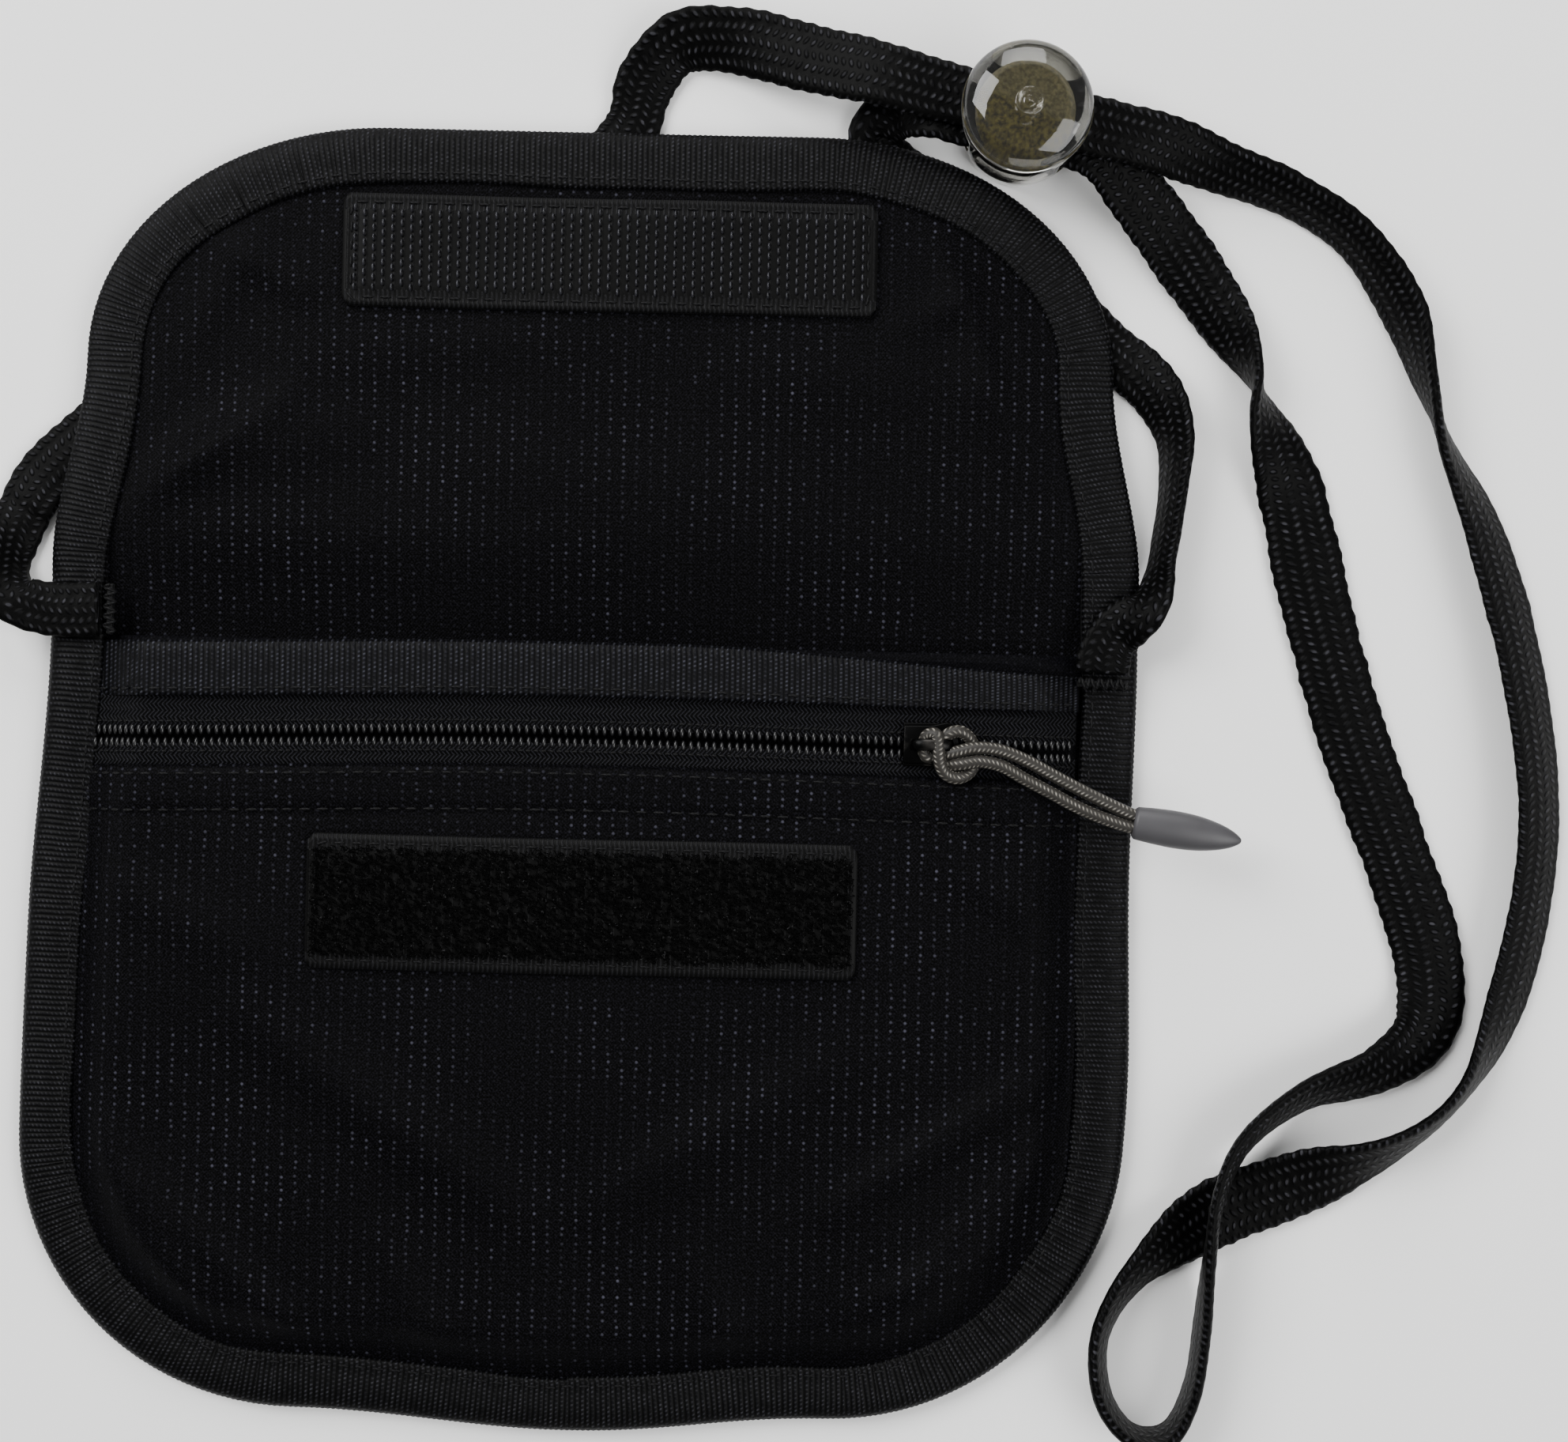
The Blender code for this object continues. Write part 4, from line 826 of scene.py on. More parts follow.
# Knitted polyester tape: a fine herringbone, dull black.
zip_knit, tree, shader = blank_material("knitted_zip_tape_black", 0.58, Sheen_Weight=0.008,
    Specular_IOR_Level=0.04)
lay = add(tree, "ShaderNodeUVMap", {"uv_map": "lay"}, {}).outputs["UV"]
split = add(tree, "ShaderNodeSeparateXYZ", {}, {0: lay})
rows_turn = add(tree, "ShaderNodeMath", {"operation": "PINGPONG"},
    {0: split.outputs["Y"], 1: 0.009}).outputs[0]
slant = add(tree, "ShaderNodeMath", {"operation": "MULTIPLY_ADD"}, {
    0: rows_turn, 1: 0.9, 2: split.outputs["X"]}).outputs[0]
turn = add(tree, "ShaderNodeMath", {"operation": "MULTIPLY"},
    {0: slant, 1: 2 * math.pi * 0.1 / (0.62 * MM)}).outputs[0]
loops = add(tree, "ShaderNodeMath", {"operation": "SINE"}, {0: turn}).outputs[0]
grain = add(tree, "ShaderNodeTexNoise", {}, {"Vector": lay, "Scale": 260.0, "Detail": 3.0}).outputs["Fac"]
height = add(tree, "ShaderNodeMath", {"operation": "MULTIPLY_ADD"}, {0: loops, 1: 0.35, 2: grain}).outputs[0]
lighter = add(tree, "ShaderNodeMapRange", {},
    {"Value": height, "From Min": 0.35, "From Max": 1.0}).outputs["Result"]
colour = add(tree, "ShaderNodeMix", {"data_type": "RGBA"}, {
    "Factor": lighter, 6: srgb("010101"), 7: srgb("212125")}).outputs[2]
link(tree, colour, shader, "Base Color")
bump = add(tree, "ShaderNodeBump", {}, {"Height": height, "Strength": 0.9, "Distance": 0.22 * MM})
link(tree, bump.outputs["Normal"], shader, "Normal")

zip_x = np.linspace(-70.5 * MM, 71 * MM, 190)
for side, near, far in (("upper", 1.0 * MM, 8.8 * MM), ("lower", -1.0 * MM, -8.6 * MM)):
    across = np.linspace(min(near, far), max(near, far), 9)
    gx = np.repeat(zip_x[:, None], len(across), axis=1)
    gy = ZIP_Y + across[None, :] + zip_bow(gx)
    gz, _ = pocket_height(gx, gy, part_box("zip_tape_" + side)[1][2] + 0.1 * MM)
    gz = np.minimum(gz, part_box("zip_tape_" + side)[1][2] + 0.1 * MM)
    points = np.stack([gx, gy, gz], axis=-1)[:, ::-1]
    tape_mesh = grid_mesh("zip_knit_" + side, points, cloth_uv(gx, gy)[:, ::-1], wall=0.35 * MM)
    knit = put("zip_knit_" + side, tape_mesh, zip_knit)
    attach(knit, "pouch")
    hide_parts("zip_tape_" + side)

# Nylon monofilament: smooth, semi-gloss black.
coil_nylon, tree, shader = blank_material("coil_nylon_black", 0.25, Specular_IOR_Level=0.5)
place = add(tree, "ShaderNodeTexCoord", {}, {}).outputs["Object"]
patch_noise = add(tree, "ShaderNodeTexNoise", {}, {"Vector": place, "Scale": 700.0, "Detail": 2.0}).outputs["Fac"]
colour = add(tree, "ShaderNodeMix", {"data_type": "RGBA"},
    {"Factor": patch_noise, 6: srgb("030304"), 7: srgb("0e0e10")}).outputs[2]
link(tree, colour, shader, "Base Color")
gloss = add(tree, "ShaderNodeMapRange", {}, {"Value": patch_noise, "To Min": 0.22, "To Max": 0.42}).outputs["Result"]
link(tree, gloss, shader, "Roughness")


def tooth_tree():
    tree, given = node_group("zip_teeth", (("Pitch", "Float"), ("Size", "Vector")))
    path = add(tree, "GeometryNodeMeshToCurve", {}, {"Mesh": given["Geometry"]}).outputs["Curve"]
    steps = add(tree, "GeometryNodeCurveToPoints", {"mode": "LENGTH"},
        {"Curve": path, "Length": given["Pitch"]})
    tooth = add(tree, "GeometryNodeMeshUVSphere", {},
        {"Segments": 10, "Rings": 6, "Radius": 0.5}).outputs["Mesh"]
    teeth = add(tree, "GeometryNodeInstanceOnPoints", {}, {
        "Points": steps.outputs["Points"], "Instance": tooth, "Scale": given["Size"]})
    finish_tree(tree, teeth.outputs["Instances"], coil_nylon)
    return tree


TOOTH_TREE = tooth_tree()
for side, sign in (("upper", 1), ("lower", -1)):
    chain_x = np.linspace(-70 * MM + (TOOTH_PITCH / 2 if sign > 0 else 0), 70 * MM, 160)
    chain_y = ZIP_Y + sign * 0.95 * MM + zip_bow(chain_x)
    chain_z, _ = pocket_height(chain_x[:, None], chain_y[:, None], COIL_LEVEL[0][2] + 0.62 * MM)
    chain_z = np.minimum(chain_z[:, 0], COIL_LEVEL[0][2] + 0.62 * MM)
    chain = path_mesh("zip_teeth_" + side, np.column_stack([chain_x, chain_y, chain_z]))
    size = (0.78 * MM, 1.75 * MM, 1.15 * MM)
    teeth = grown("zip_teeth_" + side, chain, TOOTH_TREE, {"Pitch": TOOTH_PITCH, "Size": size}, coil_nylon)
    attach(teeth, "pouch")
    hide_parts("zip_coil_" + side)

    sewn_y = sign * 2.15 * MM
    sewn = over_pouch(chain_x, ZIP_Y + sewn_y, 0.12 * MM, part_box("zip_tape_" + side)[1][2] + 0.1 * MM)
    coil_stitches = stitches("zip_stitches_" + side, sewn, pitch=TOOTH_PITCH, length=0.8 * MM)
    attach(coil_stitches, "pouch")

# ---- hook and loop -----------------------------------------------------------------------------------
# Two woven nylon tapes: stiff hooks in staggered rows on the flap, a brushed pile of loops on the
# front. Both have a firm ribbed selvedge along their long edges and are sewn down all round.
SELVEDGE = 2.2 * MM
HOOK_COLUMN = 1.35 * MM
HOOK_ROW = 1.42 * MM

# Woven tape under the hooks: fine lengthwise lines, with a coarser rib on the selvedges.
def strip_tape(name, low_y, high_y, ground, line, rib):
    material, tree, shader = blank_material(name, 0.5, Sheen_Weight=0.01, Specular_IOR_Level=0.10)
    place = add(tree, "ShaderNodeTexCoord", {}, {}).outputs["Object"]
    split = add(tree, "ShaderNodeSeparateXYZ", {}, {0: place})
    line_turn = add(tree, "ShaderNodeMath", {"operation": "MULTIPLY"}, {
        0: split.outputs["X"], 1: 2 * math.pi / HOOK_COLUMN}).outputs[0]
    line_wave = add(tree, "ShaderNodeMath", {"operation": "COSINE"}, {0: line_turn}).outputs[0]
    lines = add(tree, "ShaderNodeMapRange", {},
        {"Value": line_wave, "From Min": 0.55, "From Max": 1.0}).outputs["Result"]
    rib_turn = add(tree, "ShaderNodeMath", {"operation": "MULTIPLY"}, {
        0: split.outputs["X"], 1: 2 * math.pi / (0.68 * MM)}).outputs[0]
    rib_wave = add(tree, "ShaderNodeMath", {"operation": "COSINE"}, {0: rib_turn}).outputs[0]
    ribs = add(tree, "ShaderNodeMapRange", {},
        {"Value": rib_wave, "From Min": -0.1, "From Max": 1.0}).outputs["Result"]
    middle_y = (low_y + high_y) / 2
    off = add(tree, "ShaderNodeMath", {"operation": "SUBTRACT"},
        {0: split.outputs["Y"], 1: middle_y}).outputs[0]
    away = add(tree, "ShaderNodeMath", {"operation": "ABSOLUTE"}, {0: off}).outputs[0]
    inner = (high_y - low_y) / 2 - SELVEDGE
    edge = add(tree, "ShaderNodeMapRange", {}, {
        "Value": away, "From Min": inner - 0.1 * MM, "From Max": inner + 0.1 * MM}).outputs["Result"]
    relief = add(tree, "ShaderNodeMix", {}, {"Factor": edge, 2: lines, 3: ribs}).outputs[0]
    grain = add(tree, "ShaderNodeTexNoise", {},
        {"Vector": place, "Scale": 2400.0, "Detail": 2.0}).outputs["Fac"]
    broken = add(tree, "ShaderNodeMath", {"operation": "MULTIPLY"}, {0: relief, 1: grain}).outputs[0]
    tone = add(tree, "ShaderNodeMix", {"data_type": "RGBA"},
        {"Factor": edge, 6: srgb(line), 7: srgb(rib)}).outputs[2]
    colour = add(tree, "ShaderNodeMix", {"data_type": "RGBA"},
        {"Factor": broken, 6: srgb(ground), 7: tone}).outputs[2]
    link(tree, colour, shader, "Base Color")
    bump = add(tree, "ShaderNodeBump", {}, {"Height": broken, "Strength": 0.7, "Distance": 0.14 * MM})
    link(tree, bump.outputs["Normal"], shader, "Normal")
    return material


def strip_mesh(name, low, high, sag):
    """A flat tape with softened corners, lying over the cloth's own unevenness."""
    xs = np.linspace(low[0], high[0], 90)
    ys = np.linspace(low[1], high[1], 22)
    gx, gy = np.meshgrid(xs, ys)
    corner = 1.0 * MM
    over_x = np.maximum(np.abs(gx - (low[0] + high[0]) / 2) - (high[0] - low[0]) / 2 + corner, 0)
    pull = corner - np.sqrt(np.maximum(corner ** 2 - over_x ** 2, 0))
    middle_y = (low[1] + high[1]) / 2
    gy = middle_y + (gy - middle_y) * (1 - pull / ((high[1] - low[1]) / 2))
    gy = gy + ripples(gx, np.zeros_like(gx), 21, 40, 0.22)
    edge_x = np.minimum(gx - low[0], high[0] - gx)
    edge_y = np.minimum(gy - low[1], high[1] - gy)
    near = np.minimum(edge_x, edge_y)
    sewn = 0.28 * MM * np.exp(-((near - 1.2 * MM) / (0.6 * MM)) ** 2)
    gz = high[2] - sewn + sag(gx, gy)
    return grid_mesh(name, np.stack([gx, gy, gz], axis=-1), cloth_uv(gx, gy), wall=high[2] - low[2])


hook_low, hook_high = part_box("hook_strip")
hook_base_top = hook_low[2] + 0.75 * MM
hook_tape = strip_tape("hook_tape_black", hook_low[1], hook_high[1], "010101", "0a0a0c", "18181b")


def flap_sag(x, y):
    return ripples(x, y, 4, 34, 0.35)


hook_mesh = strip_mesh("hook_tape", hook_low, (hook_high[0], hook_high[1], hook_base_top), flap_sag)
hooks_base = put("hook_tape", hook_mesh, hook_tape)
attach(hooks_base, "flap")
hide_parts("hook_strip")

# Moulded nylon monofilament: each hook is a smooth, shiny black crook. The lighter grey patches in its colour are a
# painted sparkle.
hook_nylon, tree, shader = blank_material("hook_nylon_black", 0.22, Specular_IOR_Level=0.35)
place = add(tree, "ShaderNodeTexCoord", {}, {}).outputs["Object"]
tone = add(tree, "ShaderNodeTexNoise", {}, {"Vector": place, "Scale": 500.0}).outputs["Fac"]
colour = add(tree, "ShaderNodeMix", {"data_type": "RGBA"},
    {"Factor": tone, 6: srgb("050506"), 7: srgb("38383e")}).outputs[2]
link(tree, colour, shader, "Base Color")


def crook_tree():
    """A short bent filament on every point of the guide, facing either way by turns."""
    tree, given = node_group("hooks", (("Height", "Float"), ("Filament", "Float")))
    arc = add(tree, "GeometryNodeCurveArc", {}, {"Resolution": 6, "Radius": 0.5, "Start Angle": 0.0,
                                                 "Sweep Angle": math.radians(215)}).outputs["Curve"]
    ring = add(tree, "GeometryNodeCurvePrimitiveCircle", {}, {"Resolution": 4, "Radius": given["Filament"]})
    bent = add(tree, "GeometryNodeCurveToMesh", {}, {
        "Curve": arc, "Profile Curve": ring.outputs["Curve"], "Fill Caps": True}).outputs["Mesh"]
    upright = add(tree, "GeometryNodeTransform", {}, {
        "Geometry": bent, "Rotation": (math.radians(90), 0.0, math.radians(90))}).outputs["Geometry"]
    number = add(tree, "GeometryNodeInputIndex", {}, {}).outputs["Index"]
    parity = add(tree, "ShaderNodeMath", {"operation": "MODULO"}, {0: number, 1: 2.0}).outputs[0]
    turned = add(tree, "ShaderNodeMath", {"operation": "MULTIPLY"}, {0: parity, 1: math.pi}).outputs[0]
    facing = add(tree, "ShaderNodeCombineXYZ", {}, {"Z": turned}).outputs["Vector"]
    points = add(tree, "GeometryNodeMeshToPoints", {}, {"Mesh": given["Geometry"]}).outputs["Points"]
    hooks = add(tree, "GeometryNodeInstanceOnPoints", {}, {
        "Points": points, "Instance": upright, "Rotation": facing, "Scale": given["Height"]})
    finish_tree(tree, hooks.outputs["Instances"], hook_nylon)
    return tree


hook_places = []
column_x = hook_low[0] + 1.7 * MM
column = 0
while column_x < hook_high[0] - 1.4 * MM:
    row_y = hook_low[1] + SELVEDGE + 0.4 * MM + (column % 2) * HOOK_ROW / 2
    while row_y < hook_high[1] - SELVEDGE + 0.4 * MM:
        hook_places.append((column_x, row_y))
        row_y += HOOK_ROW
    column_x += HOOK_COLUMN
    column += 1
hook_places = np.array(hook_places)
hook_z = hook_base_top + flap_sag(hook_places[:, 0], hook_places[:, 1]) + 0.12 * MM
hook_guide = bpy.data.meshes.new("hooks_guide")
hook_guide.from_pydata([tuple(p) for p in np.column_stack([hook_places, hook_z])], [], [])
hooks = grown("hooks", hook_guide, crook_tree(), {"Height": 0.85 * MM, "Filament": 0.2}, hook_nylon)
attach(hooks, "flap")


def frame_path(low, high, inset_by, z_at):
    """A closed rectangle of points inside a strip's edge."""
    x0, x1 = low[0] + inset_by, high[0] - inset_by
    y0, y1 = low[1] + inset_by, high[1] - inset_by
    ring = np.array([(x0, y0), (x1, y0), (x1, y1), (x0, y1)])
    points, _ = resampled(ring, 1.5 * MM)
    return np.column_stack([points, z_at(points[:, 0], points[:, 1])])


hook_border = stitches("hook_border_stitches", frame_path(
    hook_low, hook_high, 1.2 * MM, lambda x, y: hook_base_top + flap_sag(x, y) - 0.12 * MM), closed=True)
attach(hook_border, "flap")

loop_low, loop_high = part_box("loop_strip")
loop_base_top = loop_low[2] + 0.6 * MM
loop_tape = strip_tape("loop_tape_black", loop_low[1], loop_high[1], "010101", "030304", "18181b")


def front_sag(x, y):
    return ripples(x, y, 11, 40, 0.25)


loop_mesh = strip_mesh("loop_tape", loop_low, (loop_high[0], loop_high[1], loop_base_top), front_sag)
loops_base = put("loop_tape", loop_mesh, loop_tape)
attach(loops_base, "pouch")
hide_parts("loop_strip")

# Brushed nylon pile: very fine loops that swallow the light, so it is the blackest part. Its sparse grey flecks are a
# painted sparkle.
pile_nylon, tree, shader = blank_material("brushed_pile_black", 0.75, Specular_IOR_Level=0.05)
place = add(tree, "ShaderNodeTexCoord", {}, {}).outputs["Object"]
sparkle_noise = add(tree, "ShaderNodeTexNoise", {}, {"Vector": place, "Scale": 1600.0, "Detail": 2.0}).outputs["Fac"]
painted_sparkle = add(tree, "ShaderNodeMapRange", {},
    {"Value": sparkle_noise, "From Min": 0.62, "From Max": 0.72}).outputs["Result"]
colour = add(tree, "ShaderNodeMix", {"data_type": "RGBA"},
    {"Factor": painted_sparkle, 6: srgb("010101"), 7: srgb("2a2a2b")}).outputs[2]
link(tree, colour, shader, "Base Color")


def pile_tree():
    """Small loops of filament, scattered thickly on the guide and turned at random."""
    tree, given = node_group("pile", (("Density", "Float"), ("Size", "Float"), ("Filament", "Float")))
    spread = add(tree, "GeometryNodeDistributePointsOnFaces", {"distribute_method": "RANDOM"}, {
        "Mesh": given["Geometry"], "Density": given["Density"], "Seed": 7}).outputs["Points"]
    arc = add(tree, "GeometryNodeCurveArc", {},
        {"Resolution": 5, "Radius": 0.5, "Start Angle": math.radians(-20),
                                                 "Sweep Angle": math.radians(220)}).outputs["Curve"]
    ring = add(tree, "GeometryNodeCurvePrimitiveCircle", {}, {"Resolution": 3, "Radius": given["Filament"]})
    bent = add(tree, "GeometryNodeCurveToMesh", {}, {
        "Curve": arc, "Profile Curve": ring.outputs["Curve"]}).outputs["Mesh"]
    upright = add(tree, "GeometryNodeTransform", {}, {
        "Geometry": bent, "Rotation": (math.radians(90), 0.0, 0.0)}).outputs["Geometry"]
    facing = add(tree, "FunctionNodeRandomValue", {"data_type": "FLOAT_VECTOR"}, {
        0: (-0.7, -0.7, 0.0), 1: (0.7, 0.7, 2 * math.pi), "Seed": 3}).outputs[0]
    loops = add(tree, "GeometryNodeInstanceOnPoints", {}, {
        "Points": spread, "Instance": upright, "Rotation": facing, "Scale": given["Size"]})
    finish_tree(tree, loops.outputs["Instances"], pile_nylon)
    return tree


pile_x = np.linspace(loop_low[0] + 0.6 * MM, loop_high[0] - 0.6 * MM, 60)
pile_y = np.linspace(loop_low[1] + SELVEDGE * 0.8, loop_high[1] - SELVEDGE * 0.8, 12)
gx, gy = np.meshgrid(pile_x, pile_y)
gz = loop_base_top + front_sag(gx, gy) + 0.15 * MM
pile_guide = grid_mesh("pile_guide", np.stack([gx, gy, gz], axis=-1), cloth_uv(gx, gy))
pile_values = {"Density": 4.6e6, "Size": 0.75 * MM, "Filament": 0.11}
pile = grown("loop_pile", pile_guide, pile_tree(), pile_values, pile_nylon)
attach(pile, "pouch")
loop_border = stitches("loop_border_stitches", frame_path(
    loop_low, loop_high, 1.2 * MM, lambda x, y: loop_base_top + front_sag(x, y) - 0.12 * MM), closed=True)
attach(loop_border, "pouch")

# ---- the slider ----------------------------------------------------------------------------------------
# A die-cast zinc slider, plated black: an upper plate that widens to the front, with a turned-down
# flange each side, a lower plate behind the chain and an arched crown that holds the pull.
slider_low, slider_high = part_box("slider_body")
crown_low, crown_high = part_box("slider_crown")
SLIDER_X = (slider_low[0] + slider_high[0]) / 2

# Black plated zinc: smooth, with grey patches scattered through its colour by noise.
black_zinc, tree, shader = blank_material("plated_zinc_black", 0.3, Metallic=0.9)
place = add(tree, "ShaderNodeTexCoord", {}, {}).outputs["Object"]
patch_noise = add(tree, "ShaderNodeTexNoise", {}, {"Vector": place, "Scale": 420.0, "Detail": 4.0}).outputs["Fac"]
grey_patches = add(tree, "ShaderNodeMapRange", {},
    {"Value": patch_noise, "From Min": 0.52, "From Max": 0.75}).outputs["Result"]
colour = add(tree, "ShaderNodeMix", {"data_type": "RGBA"},
    {"Factor": grey_patches, 6: srgb("080808"), 7: srgb("343230")}).outputs[2]
link(tree, colour, shader, "Base Color")
gloss = add(tree, "ShaderNodeMapRange", {}, {"Value": patch_noise, "To Min": 0.20, "To Max": 0.42}).outputs["Result"]
link(tree, gloss, shader, "Roughness")


def prism(name, outline, low, high, bevel, material):
    """A flat outline given a height, with its edges rounded."""
    bm = bmesh.new()
    ring = [bm.verts.new((p[0], p[1], low)) for p in outline]
    face = bm.faces.new(ring)
    pushed = bmesh.ops.extrude_face_region(bm, geom=[face])
    tops = [v for v in pushed["geom"] if isinstance(v, bmesh.types.BMVert)]
    bmesh.ops.translate(bm, vec=(0, 0, high - low), verts=tops)
    bmesh.ops.recalc_face_normals(bm, faces=bm.faces)
    bmesh.ops.bevel(bm, geom=list(bm.edges), offset=bevel, segments=3, profile=0.5, affect="EDGES")
    bmesh.ops.recalc_face_normals(bm, faces=bm.faces)
    mesh = bpy.data.meshes.new(name)
    bm.to_mesh(mesh)
    bm.free()
    return put(name, mesh, material)


def plate_outline(half_length, wide, narrow):
    """A slider's plate: wide and round at its shoulders, waisted, square at its tail."""
    points = []
    for i in range(9):
        a = math.radians(-90 + 180 * i / 8)
        points.append((SLIDER_X + half_length - wide * 0.55 + wide * 0.55 * math.cos(a),
            ZIP_Y + wide * math.sin(a)))
    points += [(SLIDER_X, ZIP_Y + narrow * 1.02), (SLIDER_X - half_length, ZIP_Y + narrow)]
    points += [(SLIDER_X - half_length, ZIP_Y - narrow), (SLIDER_X, ZIP_Y - narrow * 1.02)]
    return points


half_length = (slider_high[0] - slider_low[0]) / 2
top_plate = prism("slider_top", plate_outline(half_length, 3.3 * MM, 2.7 * MM), slider_high[2] - 0.75 * MM,
                  slider_high[2] + 0.1 * MM, 0.24 * MM, black_zinc)
low_plate = prism("slider_underplate", plate_outline(half_length, 3.0 * MM, 2.5 * MM),
    slider_low[2] - 0.1 * MM,
                  slider_low[2] + 0.5 * MM, 0.16 * MM, black_zinc)
slider_pieces = [top_plate, low_plate]
for sign in (1, -1):
    cheek_y = ZIP_Y + sign * 2.75 * MM
    cheek_outline = [(SLIDER_X - half_length, cheek_y - 0.32 * MM),
        (SLIDER_X + half_length * 0.5, cheek_y - 0.32 * MM),
                     (SLIDER_X + half_length * 0.5, cheek_y + 0.32 * MM),
                     (SLIDER_X - half_length, cheek_y + 0.32 * MM)]
    name = "slider_flange_" + ("upper" if sign > 0 else "lower")
    slider_pieces.append(prism(name, cheek_outline, slider_high[2] - 1.3 * MM, slider_high[2] - 0.3 * MM,
        0.14 * MM, black_zinc))
for piece in slider_pieces:
    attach(piece, "slider")
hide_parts("slider_body")


def sweep_tube(name, path, half_across, half_up, material, sides=12):
    """A rounded bar along a path that stays in one upright plane."""
    path = np.array(path)
    along = np.gradient(path, axis=0)
    along /= np.linalg.norm(along, axis=1)[:, None]
    side = np.array([0.0, 1.0, 0.0])
    up = np.cross(along, side)
    turns = np.linspace(0, 2 * math.pi, sides, endpoint=False)
    points = (path[:, None, :] + half_across * np.cos(turns)[None, :, None] * side[None, None, :]
              + half_up * np.sin(turns)[None, :, None] * up[:, None, :])
    uv = np.stack(np.meshgrid(turns, np.arange(len(path)) * 1.0), axis=-1)[:, :, ::-1] * 0.01
    return put(name, outward(grid_mesh(name, points, uv, around=True)), material)


crown_reach = (crown_high[0] - crown_low[0]) / 2 - 0.4 * MM
crown_base = slider_high[2] + 0.05 * MM
crown_rise = crown_high[2] - 0.35 * MM - crown_base - 0.5 * MM
crown_path = []
for i in range(25):
    a = math.radians(180 - 180 * i / 24)
    crown_path.append((SLIDER_X + crown_reach * math.copysign(abs(math.cos(a)) ** 0.7, math.cos(a)), ZIP_Y,
                       crown_base + crown_rise * math.sin(a) ** 0.6))
crown = sweep_tube("slider_arch", crown_path, 0.85 * MM, 0.35 * MM, black_zinc)
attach(crown, "slider")
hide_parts("slider_crown")

# ---- the neck cord ---------------------------------------------------------------------------------------
# A flat tubular braid of black polyester, sewn to the pouch at both ends of the fold. It lies in
# loose bends on the table, leans and turns over where it twists, and doubles through the cord lock.
CORD_WIDTH = 10 * MM
CORD_THICKNESS = 1.8 * MM
CORD_LIFT = 0.1 * MM
